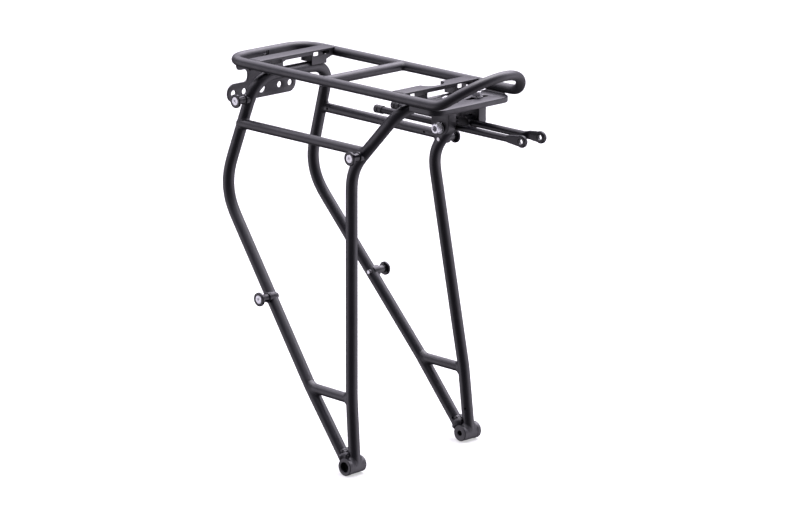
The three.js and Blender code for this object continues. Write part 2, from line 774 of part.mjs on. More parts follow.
function makeSlotNut(sign) {
  const hexagon = new THREE.Shape(circlePoints(NUT_ACROSS_CORNERS_R, 6));
  hexagon.holes.push(new THREE.Path(circlePoints(M6_HOLE_R, BORE_SIDES)));
  const lowZ = BAR_TOP_Z + WASHER_THICKNESS + GAP;
  const origin = new THREE.Vector3(SLOT_X, SLOT_Y * sign, lowZ);
  return prism(hexagon, NUT_HEIGHT, origin, X_AXIS, Y_AXIS);
}

// Barrel that turns in the bracket and lets the stay pass through.
function makeBarrel(sign) {
  const barrel = pivotBar(sign, BARREL_INNER_Y, BARREL_OUTER_Y, BARREL_R, TURNED_SIDES);
  const from = new THREE.Vector3(PIVOT_X - 2 * BARREL_R, STAY_Y * sign, PIVOT_Z);
  const to = new THREE.Vector3(PIVOT_X + 2 * BARREL_R, STAY_Y * sign, PIVOT_Z);
  const thread = pivotBar(sign, STAY_Y, 2 * BARREL_OUTER_Y, M6_HOLE_R, BORE_SIDES);
  return barrel.subtract(bar(from, to, STAY_HOLE_R)).subtract(thread);
}

function makePivotWasher(sign) {
  const seat = new THREE.Vector3(PIVOT_X, (EAR_OUTER_Y + GAP) * sign, PIVOT_Z);
  const axis = new THREE.Vector3(0, sign, 0);
  return turned(ringProfile(M6_HOLE_R, WASHER_R, WASHER_THICKNESS), seat, axis);
}

function makePivotBolt(sign) {
  const tipY = STAY_Y + STAY_R + 2 * GAP;
  const headY = EAR_OUTER_Y + WASHER_THICKNESS + 2 * GAP;
  const seat = headY - tipY;
  const top = seat + M6_HEAD_HEIGHT;
  const profile = [
    [0, 0],
    [M6_R, 0],
    [M6_R, seat],
    [M6_HEAD_R, seat],
    [M6_HEAD_R, top - 0.5],
    [M6_HEAD_R - 0.5, top],
    [M6_SOCKET_R, top],
    [M6_SOCKET_R, top - 3],
    [0, top - 3],
  ];
  const tip = new THREE.Vector3(PIVOT_X, tipY * sign, PIVOT_Z);
  return turned(profile, tip, new THREE.Vector3(0, sign, 0));
}

// ---------------------------------------------------------------- stays

// Side view of the flattened end with its round eyelet.
function paddleOutline() {
  const middleZ = PIVOT_Z + EYELET_RISE;
  const blendX = EYELET_X - EYELET_R;
  const outline = new THREE.Shape();
  outline.moveTo(STAY_FLAT_X, PIVOT_Z - STAY_R);
  outline.quadraticCurveTo(blendX, middleZ - EYELET_R, EYELET_X, middleZ - EYELET_R);
  outline.absarc(EYELET_X, middleZ, EYELET_R, -Math.PI / 2, Math.PI / 2);
  outline.quadraticCurveTo(blendX, middleZ + EYELET_R, STAY_FLAT_X, PIVOT_Z + STAY_R);
  outline.holes.push(new THREE.Path().absarc(EYELET_X, middleZ, EYELET_HOLE_R, 0, 2 * Math.PI));
  return outline;
}

function makeStay(sign) {
  const from = new THREE.Vector3(STAY_REAR_X, STAY_Y * sign, PIVOT_Z);
  const to = new THREE.Vector3(STAY_FLAT_X + STAY_R, STAY_Y * sign, PIVOT_Z);
  const outerY = EYELET_INNER_Y + EYELET_THICKNESS;
  const [low, high] = [EYELET_INNER_Y * sign, outerY * sign].sort((a, b) => a - b);
  return bar(from, to, STAY_R).add(sidePrism(paddleOutline(), low, high));
}

function makeStayCap(sign) {
  const bore = STAY_R + GAP;
  const profile = [
    [0, 0],
    [CAP_R - 0.8, 0],
    [CAP_R, 0.8],
    [CAP_R, 5.4],
    [CAP_R - 0.5, 5.8],
    [CAP_R - 0.5, 6.6],
    [CAP_R, 7],
    [CAP_R, CAP_LENGTH],
    [bore, CAP_LENGTH],
    [bore, STAY_REAR_X - CAP_REAR_X - GAP],
    [0, STAY_REAR_X - CAP_REAR_X - GAP],
  ];
  return turned(profile, new THREE.Vector3(CAP_REAR_X, STAY_Y * sign, PIVOT_Z), X_AXIS);
}

// ---------------------------------------------------------------- assembly

const FINISHES = {
  powderCoat: { color: 0x17161a, roughness: 0.62, metalness: 0.1 },
  zinc: { color: 0xc9cacc, roughness: 0.32, metalness: 0.9 },
  anodised: { color: 0x1b1a1e, roughness: 0.45, metalness: 0.45 },
  plastic: { color: 0x131315, roughness: 0.55, metalness: 0 },
};

// Distance from the foot axis to the bottom centre of the bounds.
const BOUNDS_CENTRE_X = -29.95;
const BOUNDS_LOW_Z = -BOSS_R;

const rack = new THREE.Group();
rack.name = 'rear_rack';

function addPiece(name, solid, finish) {
  const material = new THREE.MeshStandardMaterial(FINISHES[finish]);
  const centred = solid.translate(-BOUNDS_CENTRE_X, 0, -BOUNDS_LOW_Z);
  const mesh = new THREE.Mesh(toGeometry(centred), material);
  mesh.name = name;
  rack.add(mesh);
}

const rearStuds = STUDS.filter((stud) => stud.name !== 'front');
const frontStuds = STUDS.filter((stud) => stud.name === 'front');
const rearVent = [-19, 82.4, 13];
const frontVent = [0, 82.2, 25];

addPiece('deck_loop_tube', makeDeckLoop(), 'powderCoat');
addPiece('deck_cross_tube', makeCrossTube(), 'powderCoat');
addPiece('front_leg_arch', makeLeg(legPaths.front, frontStuds, frontVent, null), 'powderCoat');
addPiece('rear_leg_arch', makeLeg(legPaths.rear, rearStuds, rearVent, clearOf.frontLeg), 'powderCoat');
addPiece('rear_deck_plate', makeDeckPlate(REAR_PLATE, REAR_LEG, false), 'powderCoat');
addPiece('front_deck_plate', makeDeckPlate(FRONT_PLATE, FRONT_LEG, true), 'powderCoat');
addPiece('tail_light_plate', makeLightPlate(), 'powderCoat');
addPiece('cable_hook', makeCableHook(), 'powderCoat');
addPiece('bridge_bar', makeBridgeBar(), 'powderCoat');

for (const { name, sign } of SIDES) {
  addPiece(`side_rail_${name}`, makeSideRail(sign), 'powderCoat');
  addPiece(`lower_brace_${name}`, copedTube(BRACE, sign, RAIL_R, RAIL_BORE_R), 'powderCoat');
  addPiece(`foot_boss_${name}`, makeBoss(sign), 'powderCoat');
  addPiece(`foot_gusset_${name}`, makeGusset(sign), 'powderCoat');
  for (const stud of STUDS) {
    addPiece(`pannier_stud_${stud.name}_${name}`, makeStudPost(stud, sign), 'anodised');
    addPiece(`pannier_screw_${stud.name}_${name}`, makeStudScrew(stud, sign), 'zinc');
    addPiece(`pannier_lug_${stud.name}_${name}`, makeStudLug(stud, sign), 'anodised');
  }
  addPiece(`stay_bracket_${name}`, makeEar(sign), 'powderCoat');
  addPiece(`slot_stem_${name}`, makeSlotStem(sign), 'zinc');
  addPiece(`slot_washer_${name}`, makeSlotWasher(sign), 'zinc');
  addPiece(`slot_nut_${name}`, makeSlotNut(sign), 'zinc');
  addPiece(`clamp_barrel_${name}`, makeBarrel(sign), 'anodised');
  addPiece(`pivot_washer_${name}`, makePivotWasher(sign), 'zinc');
  addPiece(`pivot_bolt_${name}`, makePivotBolt(sign), 'zinc');
  addPiece(`stay_rod_${name}`, makeStay(sign), 'anodised');
  addPiece(`stay_cap_${name}`, makeStayCap(sign), 'plastic');
}

export default rack;
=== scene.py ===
import math

import bmesh
import bpy
import numpy as np
from mathutils import Matrix, Vector
from mathutils.geometry import tessellate_polygon


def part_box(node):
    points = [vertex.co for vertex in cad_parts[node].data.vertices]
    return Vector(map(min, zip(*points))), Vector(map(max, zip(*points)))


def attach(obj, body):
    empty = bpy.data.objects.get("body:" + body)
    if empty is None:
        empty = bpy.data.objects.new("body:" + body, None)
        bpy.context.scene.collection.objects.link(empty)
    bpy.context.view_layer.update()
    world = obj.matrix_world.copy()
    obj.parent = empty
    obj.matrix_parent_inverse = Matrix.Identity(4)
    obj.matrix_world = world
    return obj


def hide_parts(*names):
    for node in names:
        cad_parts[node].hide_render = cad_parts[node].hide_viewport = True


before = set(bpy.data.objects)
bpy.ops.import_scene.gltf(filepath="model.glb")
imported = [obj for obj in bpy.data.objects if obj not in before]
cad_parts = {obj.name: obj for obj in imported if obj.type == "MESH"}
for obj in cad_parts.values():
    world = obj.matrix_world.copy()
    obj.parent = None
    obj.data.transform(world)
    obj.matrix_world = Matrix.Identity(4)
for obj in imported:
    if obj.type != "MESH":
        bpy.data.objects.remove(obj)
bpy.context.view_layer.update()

MM = 0.001
SIDES = (("left", 1), ("right", -1))
X, Y, Z = Vector((1, 0, 0)), Vector((0, 1, 0)), Vector((0, 0, 1))

LEG_R = 6 * MM
RAIL_R = 5 * MM
TUBE_SIDES = 48
LATHE_SIDES = 72

# ---- materials


class Nodes:
    """Short way to add and join the shader nodes of a material or a world."""

    def __init__(self, owner, space="Object"):
        owner.use_nodes = True
        self.owner, self.tree = owner, owner.node_tree
        self.tree.nodes.clear()
        self.coords = self.add("ShaderNodeTexCoord").outputs[space]

    def add(self, kind, **inputs):
        node = self.tree.nodes.new(kind)
        for key, value in inputs.items():
            self.feed(node.inputs[key], value)
        return node

    def feed(self, socket, value):
        if isinstance(value, bpy.types.NodeSocket):
            self.tree.links.new(value, socket)
        else:
            socket.default_value = value

    def noise(self, scale, detail=3.0, roughness=0.55, stretch=None):
        vector = self.coords
        if stretch:
            mapping = self.add("ShaderNodeMapping", Vector=vector, Scale=stretch)
            vector = mapping.outputs["Vector"]
        node = self.add("ShaderNodeTexNoise", Vector=vector, Scale=scale, Detail=detail,
                        Roughness=roughness)
        return node.outputs["Fac"]

    def ramp(self, value, dark, light):
        """Colour between two others over the middle of a noise."""
        node = self.add("ShaderNodeValToRGB", Fac=value)
        for element, position, colour in zip(node.color_ramp.elements, (0.3, 0.7), (dark, light)):
            element.position, element.color = position, (*colour, 1)
        return node.outputs["Color"]

    def span(self, value, low, high, start=0.3, end=0.7):
        limits = {"From Min": start, "From Max": end, "To Min": low, "To Max": high}
        return self.add("ShaderNodeMapRange", Value=value, **limits).outputs["Result"]

    def math(self, operation, first, second):
        node = self.add("ShaderNodeMath")
        node.operation = operation
        self.feed(node.inputs[0], first)
        self.feed(node.inputs[1], second)
        return node.outputs["Value"]

    def blend(self, factor, first, second):
        node = self.tree.nodes.new("ShaderNodeMix")
        node.data_type = "RGBA"
        self.feed(node.inputs["Factor"], factor)
        self.feed(node.inputs["A"], first)
        self.feed(node.inputs["B"], second)
        return node.outputs["Result"]

    def bump(self, height, distance, strength=1.0, under=None):
        node = self.add("ShaderNodeBump", Height=height, Distance=distance, Strength=strength)
        if under is not None:
            self.feed(node.inputs["Normal"], under)
        return node.outputs["Normal"]

    def finish(self, **inputs):
        shader = self.add("ShaderNodeBsdfPrincipled")
        for key, value in inputs.items():
            self.feed(shader.inputs[key.replace("_", " ")], value)
        self.add("ShaderNodeOutputMaterial", Surface=shader.outputs["BSDF"])
        return self.owner


def edge_wear(n, base, worn, amount=0.5):
    """Lightens convex edges, broken up by noise."""
    edges = n.span(n.add("ShaderNodeNewGeometry").outputs["Pointiness"], 0, amount, 0.52, 0.60)
    patchy = n.span(n.noise(220, 4), 0, 1, 0.45, 0.62)
    return n.blend(n.math("MULTIPLY", edges, patchy), base, (*worn, 1))


def powder_coat():
    n = Nodes(bpy.data.materials.new("powder_coat_look"))
    base = n.ramp(n.noise(38, 4), (0.0046, 0.0043, 0.0076), (0.0068, 0.0064, 0.0100))
    fleck = n.span(n.noise(1900, 1), 0, 0.35, 0.60, 0.74)
    base = n.blend(fleck, base, (0.030, 0.029, 0.036, 1))
    base = edge_wear(n, base, (0.022, 0.021, 0.026))
    peel = n.bump(n.noise(1000, 2), 0.00010, 0.6)
    grain = n.bump(n.noise(3200, 2), 0.00004, 0.6, peel)
    rough = n.span(n.noise(120, 3), 0.38, 0.48)
    return n.finish(Base_Color=base, Roughness=rough, Normal=grain, IOR=1.55)


def black_metal(name, ior, rough_low, rough_high):
    n = Nodes(bpy.data.materials.new(name))
    base = n.ramp(n.noise(60, 3), (0.0030, 0.0028, 0.0045), (0.0055, 0.0050, 0.0080))
    base = edge_wear(n, base, (0.030, 0.030, 0.034), amount=0.35)
    drawn = n.noise(700, 3, 0.6, (0.04, 1, 1))
    normal = n.bump(drawn, 0.00003, 0.4)
    rough = n.span(drawn, rough_low, rough_high)
    return n.finish(Base_Color=base, Roughness=rough, Normal=normal, IOR=ior)


# The last argument scales the metal's colours: above 1 it paints light into the colour, below 1 it paints
# shade.
def bright_metal(name, metallic, rough_low, rough_high, painted_light_scale=1.0):
    n = Nodes(bpy.data.materials.new(name))
    dark, light, warm = [[painted_light_scale * part for part in colour]
                         for colour in ((0.52, 0.53, 0.55), (0.62, 0.62, 0.63), (0.56, 0.55, 0.50))]
    base = n.ramp(n.noise(300, 4), dark, light)
    base = n.blend(n.span(n.noise(90, 3), 0, 0.25, 0.5, 0.7), base, (*warm, 1))
    scratch = n.noise(2200, 3, 0.6, (1, 0.15, 1))
    normal = n.bump(scratch, 0.000004, 0.3)
    rough = n.span(n.noise(500, 3), rough_low, rough_high)
    return n.finish(Base_Color=base, Metallic=metallic, Roughness=rough, Normal=normal)


def plastic():
    n = Nodes(bpy.data.materials.new("plastic_look"))
    base = n.ramp(n.noise(80, 3), (0.0050, 0.0050, 0.0060), (0.0085, 0.0085, 0.0095))
    base = edge_wear(n, base, (0.025, 0.025, 0.025))
    normal = n.bump(n.noise(3000, 2), 0.00003, 0.5)
    rough = n.span(n.noise(250, 3), 0.38, 0.52)
    return n.finish(Base_Color=base, Roughness=rough, Normal=normal)


LOOKS = {
    "powder_coat": powder_coat(),
    "anodised_black": black_metal("anodised_look", 1.34, 0.28, 0.38),
    "gloss_black": black_metal("gloss_black_look", 1.42, 0.10, 0.18),
    "zinc_plate": bright_metal("zinc_look", 0.85, 0.28, 0.38),
    # These three are lit and shaded copies of the zinc look. The stud screw faces and bolt heads are
    # brightened (the stud faces also made less metallic) as painted light, so they read white. The washers
    # are darkened as painted shade.
    "stud_face_painted_light": bright_metal("stud_face_look", 0.30, 0.34, 0.46, 1.6),
    "bolt_head_painted_light": bright_metal("bolt_head_look", 0.6, 0.22, 0.32, 1.35),
    "zinc_painted_dark": bright_metal("dark_steel_look", 1.0, 0.22, 0.30, 0.40),
    "cap_plastic": plastic(),
}

# ---- meshes


class Shell:
    """Vertices and faces gathered before they become one piece."""

    def __init__(self):
        self.points, self.faces = [], []

    def add(self, points, faces):
        start = len(self.points)
        self.points.extend(Vector(p) for p in points)
        self.faces.extend(tuple(start + i for i in face) for face in faces)
        return self

    def mesh(self, name):
        mesh = bpy.data.meshes.new(name)
        mesh.from_pydata([tuple(p) for p in self.points], [], self.faces)
        bm = bmesh.new()
        bm.from_mesh(mesh)
        bmesh.ops.remove_doubles(bm, verts=bm.verts, dist=1e-7)
        bmesh.ops.recalc_face_normals(bm, faces=bm.faces)
        bm.to_mesh(mesh)
        bm.free()
        return mesh


def bare_object(name, mesh):
    obj = bpy.data.objects.new(name, mesh)
    bpy.context.scene.collection.objects.link(obj)
    return obj


def carve(mesh, cutters):
    """Cuts several shells out of one mesh; returns the new mesh."""
    target = bare_object("carve_target", mesh)
    helpers = []
    for cutter in cutters:
        helper = bare_object("carve_tool", cutter.mesh("carve_tool"))
        modifier = target.modifiers.new("cut", "BOOLEAN")
        modifier.solver = "MANIFOLD"
        modifier.object = helper
        helpers.append(helper)
    bpy.context.view_layer.update()
    graph = bpy.context.evaluated_depsgraph_get()
    result = bpy.data.meshes.new_from_object(target.evaluated_get(graph))
    for helper in (*helpers, target):
        bpy.data.objects.remove(helper)
    return result


def piece(name, shell, look, body, nodes=(), cutters=(), sharp=32):
    """Finished piece that rides on a body; sharp is the angle in degrees from which an edge stays crisp."""
    mesh = shell.mesh(name)
    if cutters:
        mesh = carve(mesh, cutters)
    mesh.polygons.foreach_set("use_smooth", [True] * len(mesh.polygons))
    mesh.set_sharp_from_angle(angle=math.radians(sharp))
    mesh.materials.clear()
    mesh.materials.append(LOOKS[look])
    obj = bare_object(name, mesh)
    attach(obj, body)
    if nodes:
        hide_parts(*nodes)


def coated(name, shell, nodes=(), cutters=(), body="frame"):
    """Powder-coated piece."""
    piece(name, shell, "powder_coat", body, nodes, cutters)


def welded(name, shells, nodes=()):
    """Coated weld metal, gathered into one piece."""
    piece(name, join(*shells), "powder_coat", "frame", nodes, sharp=60)


CUTTER_EDGE = 0.01 * MM


def ring_faces(rings, sides, closed):
    faces = []
    count = rings if closed else rings - 1
    for i in range(count):
        a, b = i * sides, ((i + 1) % rings) * sides
        for j in range(sides):
            k = (j + 1) % sides
            faces.append((a + j, a + k, b + k, b + j))
    return faces


def unit(v):
    length = np.linalg.norm(v)
    if not length > 1e-12:
        raise ValueError("a direction has no length")
    return v / length


def loft(sections, closed=False):
    """Joins equal-length loops of points; open lofts get flat ends."""
    sides = len(sections[0])
    points = [p for section in sections for p in section]
    faces = ring_faces(len(sections), sides, closed)
    if not closed:
        faces.append(tuple(range(sides)))
        faces.append(tuple((len(sections) - 1) * sides + i for i in range(sides)))
    return Shell().add(points, faces)


def hoop(centre, tangent, reference, radius, sides):
    """Circle of points square to a tangent."""
    tangent, reference = unit(tangent), np.asarray(reference, float)
    turn = np.linspace(0, 2 * np.pi, sides, endpoint=False)
    across = unit(reference - (reference @ tangent) * tangent)
    up = np.cross(tangent, across)
    return centre + radius * (np.outer(np.cos(turn), across) + np.outer(np.sin(turn), up))


def tube(path, radius, reference, closed=False, sides=TUBE_SIDES):
    path = np.asarray(path, float)
    if closed:
        tangents = np.roll(path, -1, 0) - np.roll(path, 1, 0)
    else:
        tangents = np.gradient(path, axis=0)
    return loft([hoop(*pair, reference, radius, sides) for pair in zip(path, tangents)], closed)


def rounded(points, radius, closed=True, steps=4):
    """Replaces the corners of a 2-D outline with small arcs."""
    points = [np.array(p, float) for p in points]
    count = len(points)
    out = []
    for i, corner in enumerate(points):
        if not closed and i in (0, count - 1):
            out.append(corner)
            continue
        before, after = points[i - 1], points[(i + 1) % count]
        to_before, to_after = before - corner, after - corner
        lengths = np.linalg.norm(to_before), np.linalg.norm(to_after)
        if min(lengths) < 1e-9:
            continue
        cosine = (to_before @ to_after) / (lengths[0] * lengths[1])
        if cosine < -0.985:
            out.append(corner)
            continue
        cut = min(radius, 0.45 * min(lengths))
        start = corner + to_before / lengths[0] * cut
        end = corner + to_after / lengths[1] * cut
        for j in range(steps + 1):
            t = j / steps
            out.append((1 - t) ** 2 * start + 2 * t * (1 - t) * corner + t * t * end)
    return out


def lathe(profile, origin, axis, round_by=0.25 * MM, sides=LATHE_SIDES):
    """Turned shape; the profile is (radius, distance along the axis)."""
    loop = np.linalg.norm(np.subtract(profile[0], profile[-1])) < 1e-9
    outline = rounded(profile[:-1] if loop else profile, round_by, closed=loop)
    axis = Vector(axis).normalized()
    side = axis.orthogonal().normalized()
    other = axis.cross(side)
    origin = Vector(origin)
    points, rows = [], []
    for radius, along in (map(float, pair) for pair in outline):
        middle = origin + axis * along
        if radius < 1e-7:
            rows.append([len(points)] * sides)
            points.append(middle)
            continue
        rows.append(range(len(points), len(points) + sides))
        for angle in turns(sides):
            points.append(middle + radius * (side * math.cos(angle) + other * math.sin(angle)))
    faces = []
    for low, high in zip(rows, rows[1:] + rows[:1] if loop else rows[1:]):
        for i in range(sides):
            k = (i + 1) % sides
            face = tuple(dict.fromkeys((low[i], low[k], high[k], high[i])))
            if len(face) > 2:
                faces.append(face)
    return Shell().add(points, faces)


def centre_of(node):
    """Middle of a CAD node's box."""
    return [(a + b) / 2 for a, b in zip(*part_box(node))]


def size_of(node):
    """Lengths of a CAD node's box along X, Y and Z."""
    return [b - a for a, b in zip(*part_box(node))]


def faces_out(node):
    """Distances of a CAD node's inner and outer end from the middle plane."""
    low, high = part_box(node)
    return sorted((abs(low.y), abs(high.y)))


def disc(radius, thickness):
    """Lathe profile of a plain disc."""
    return [(0, 0), (radius, 0), (radius, thickness), (0, thickness)]


def ring(inner, outer, thickness):
    """Closed lathe profile of a washer."""
    return [(inner, 0), (outer, 0), (outer, thickness), (inner, thickness), (inner, 0)]


def arc(centre, radius, start, sweep, steps):
    angles = [start + sweep * i / steps for i in range(steps + 1)]
    return [(centre[0] + radius * math.cos(a), centre[1] + radius * math.sin(a)) for a in angles]


def turns(count):
    return [2 * math.pi * i / count for i in range(count)]


def circle(radius, centre=(0, 0), count=64, wobble=0.0, waves=0):
    out = []
    for angle in turns(count):
        r = radius + wobble * math.cos(waves * angle)
        out.append((centre[0] + r * math.cos(angle), centre[1] + r * math.sin(angle)))
    return out


def signed_area(loop):
    loop = np.array(loop)
    nxt = np.roll(loop, -1, 0)
    return 0.5 * float(np.sum(loop[:, 0] * nxt[:, 1] - nxt[:, 0] * loop[:, 1]))


def inset(loop, distance):
    """Moves a loop towards the material on its left."""
    loop = np.array(loop, float)
    ahead = np.roll(loop, -1, 0) - loop
    ahead /= np.linalg.norm(ahead, axis=1)[:, None]
    behind = np.roll(ahead, 1, 0)
    left = np.stack([-ahead[:, 1] - behind[:, 1], ahead[:, 0] + behind[:, 0]], 1)
    left /= np.maximum(np.linalg.norm(left, axis=1), 1e-9)[:, None]
    normal = np.stack([-ahead[:, 1], ahead[:, 0]], 1)
    scale = 1 / np.clip(np.sum(left * normal, 1), 0.5, 1)
    return loop + left * (scale * distance)[:, None]


def slab(outline, holes, thickness, bevel, origin, across, up, steps=3):
    """Flat piece with rounded edges: outline and holes lie in the (across, up) plane."""
    loops = [np.array(outline if signed_area(outline) > 0 else outline[::-1], float)]
    loops += [np.array(h if signed_area(h) < 0 else h[::-1], float) for h in holes]
    across, up, origin = Vector(across), Vector(up), Vector(origin)
    normal = across.cross(up)
    layers = []
    for j in range(steps + 1):
        angle = math.pi / 2 * j / steps
        layers.append((bevel * (1 - math.sin(angle)), bevel * (1 - math.cos(angle))))
    stations = layers + [(shift, thickness - height) for shift, height in reversed(layers)]

    def lift(loop, height):
        return [origin + across * p[0] + up * p[1] + normal * height for p in loop]

    points, faces, caps = [], [], ([], [])
    for loop in loops:
        start = len(points)
        for shift, height in stations:
            points.extend(lift(inset(loop, shift), height))
        sides = len(loop)
        for face in ring_faces(len(stations), sides, False):
            faces.append(tuple(start + i for i in face))
        caps[0].append([start + i for i in range(sides)])
        caps[1].append([start + (len(stations) - 1) * sides + i for i in range(sides)])
    for cap in caps:
        flat = [[Vector(((points[i] - origin).dot(across), (points[i] - origin).dot(up), 0))
                 for i in loop] for loop in cap]
        index = [i for loop in cap for i in loop]
        faces.extend(tuple(index[i] for i in face) for face in tessellate_polygon(flat))
    return Shell().add(points, faces)


def join(*shells):
    whole = Shell()
    for shell in shells:
        whole.add(shell.points, shell.faces)
    return whole


def block(start, end, low, high):
    """Rectangle as an outline; start and end may come in either order."""
    start, end = sorted((start, end))
    return [(start, low), (end, low), (end, high), (start, high)]


def rod(start, end, radius, sides=48):
    """Plain cylinder between two points."""
    axis = Vector(end) - Vector(start)
    return lathe(disc(radius, axis.length), start, axis, 1e-6, sides)


# ---- centrelines from the CAD tubes


def triangles(node):
    """Corners of a CAD node's triangles."""
    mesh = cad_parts[node].data
    mesh.calc_loop_triangles()
    corners = np.zeros(len(mesh.vertices) * 3)
    mesh.vertices.foreach_get("co", corners)
    index = np.zeros(len(mesh.loop_triangles) * 3, int)
    mesh.loop_triangles.foreach_get("vertices", index)
    return corners.reshape(-1, 3)[index].reshape(-1, 3, 3)


def section(tris, point, normal, reach):
    """Middle and total length of the cut through a tube, near a point."""
    depth = (tris - point) @ normal
    hit = (depth.min(1) < 0) & (depth.max(1) > 0)
    ends = []
    for corners, d in zip(tris[hit], depth[hit]):
        cut = []
        for a, b in ((0, 1), (1, 2), (2, 0)):
            if d[a] * d[b] < 0:
                cut.append(corners[a] + (corners[b] - corners[a]) * d[a] / (d[a] - d[b]))
        if len(cut) == 2:
            ends.append(cut)
    if not ends:
        return None, 0.0
    ends = np.array(ends)
    middle, length = ends.mean(1), np.linalg.norm(ends[:, 1] - ends[:, 0], axis=1)
    near = np.linalg.norm(middle - point, axis=1) < reach
    total = length[near].sum()
    if total < 1e-6:
        return None, 0.0
    return (middle[near] * length[near][:, None]).sum(0) / total, total


WALK_STEP = 3 * MM
MOST_STEPS = 2000
WHOLE_CUT = (0.9, 1.12)  # a cut this near to the first one's length is a clean cut through the tube


def walk(tris, start, heading, radius, loop=False):
    """Centreline of a tube, found cut by cut. It ends where clean cuts end, or where a loop closes."""
    point, heading = np.array(start, float), unit(np.array(heading, float))
    point, full = section(tris, point, heading, 2.2 * radius)
    points, guess, misses = [point], point, 0
    for _ in range(MOST_STEPS):
        guess = guess + heading * WALK_STEP
        found, total = section(tris, guess, heading, 1.7 * radius)
        if found is None or not WHOLE_CUT[0] * full <= total <= WHOLE_CUT[1] * full:
            misses += 1
            if misses * WALK_STEP > 3.5 * radius:
                break
            continue
        misses = 0
        heading = unit(0.5 * heading + 0.5 * unit(found - points[-1]))
        points.append(found)
        guess = found
        if loop and len(points) > 20 and np.linalg.norm(found - points[0]) < WALK_STEP:
            break
    return np.array(points)


def even(path, spacing, closed=False):
    """The same path with evenly spaced points."""
    path = np.asarray(path, float)
    if closed:
        path = np.vstack([path, path[:1]])
    along = np.concatenate([[0], np.cumsum(np.linalg.norm(np.diff(path, axis=0), axis=1))])
    count = max(2, int(round(along[-1] / spacing)) + (0 if closed else 1))
    marks = np.linspace(0, along[-1], count, endpoint=not closed)
    return np.stack([np.interp(marks, along, path[:, i]) for i in range(3)], 1)


def soften(path, sigma, closed=False):
    """Gaussian smoothing along an evenly spaced path."""
    reach = int(3 * sigma) + 1
    kernel = np.exp(-0.5 * (np.arange(-reach, reach + 1) / sigma) ** 2)
    kernel /= kernel.sum()
    if closed:
        padded = np.vstack([path[-reach:], path, path[:reach]])
    else:
        head = 2 * path[0] - path[1:reach + 1][::-1]
        tail = 2 * path[-1] - path[-reach - 1:-1][::-1]
        padded = np.vstack([head, path, tail])
    return np.stack([np.convolve(padded[:, i], kernel, "valid") for i in range(3)], 1)


PATH_STEP = 2 * MM
SMOOTHING = 2.2  # in path points


def arch_path(node):
    """Foot to foot centreline of a leg arch, run on into both bosses."""
    tris = triangles(node)
    left = tris[tris[:, :, 1].min(1) > 0]
    above_feet = np.array([0, 0, 50 * MM])
    start = section(left, above_feet, np.array([0, 0, 1.0]), 1.0)[0]
    upper = walk(tris, start, (-0.2, 0, 1), LEG_R)
    lower = walk(tris, start, (0.2, 0, -1), LEG_R)
    path = np.vstack([lower[:0:-1], upper])
    middle = centre_of("foot_boss_left")[2]
    ends = []
    for end, inner in ((path[0], path[6]), (path[-1], path[-7])):
        slope = unit(end - inner)
        ends.append(end + slope * (middle - end[2]) / slope[2])
    path = np.vstack([ends[0], path, ends[1]])
    return soften(even(path, PATH_STEP), SMOOTHING)


def straight_path(node, extend):
    """Axis of a straight tube from its CAD node, run on by extend at both ends."""
    low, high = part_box(node)
    tris = triangles(node)
    longest = max(range(3), key=lambda i: high[i] - low[i])
    heading = np.zeros(3)
    heading[longest] = 1
    marks = []
    for share in (0.2, 0.4, 0.6, 0.8):
        point = np.array(low) * (1 - share) + np.array(high) * share
        marks.append(section(tris, point, heading, 30 * MM)[0])
    direction = unit(marks[-1] - marks[0])
    middle = np.mean(marks, 0)
    reach = (high[longest] - low[longest]) / 2 / direction[longest]
    shift = ((low[longest] + high[longest]) / 2 - middle[longest]) / direction[longest]
    centre = middle + direction * shift
    half = abs(reach) + extend
    return even([centre - direction * half, centre + direction * half], 4 * MM)


PATHS = {place: arch_path(f"{place}_leg_arch") for place in ("rear", "front")}
rail_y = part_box("deck_loop_tube")[1].y - RAIL_R
deck_start = (-50 * MM, rail_y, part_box("deck_cross_tube")[0].z + RAIL_R)
deck_walk = walk(triangles("deck_loop_tube"), deck_start, (1, 0, 0), RAIL_R, loop=True)
PATHS["deck"] = soften(even(deck_walk, PATH_STEP, True), SMOOTHING, True)

# ---- welds


def nearest(path, point):
    """Closest point of a polyline."""
    a, b = path[:-1], path[1:]
    ab = b - a
    t = np.clip(np.sum((point - a) * ab, 1) / np.maximum(np.sum(ab * ab, 1), 1e-12), 0, 1)
    on = a + ab * t[:, None]
    return on[np.argmin(np.sum((on - point) ** 2, 1))]


FILLET_POINTS = 156
FILLET_HOLLOW = 0.45
SCALE_LIFT = 0.16 * MM
SUNK = 0.12 * MM


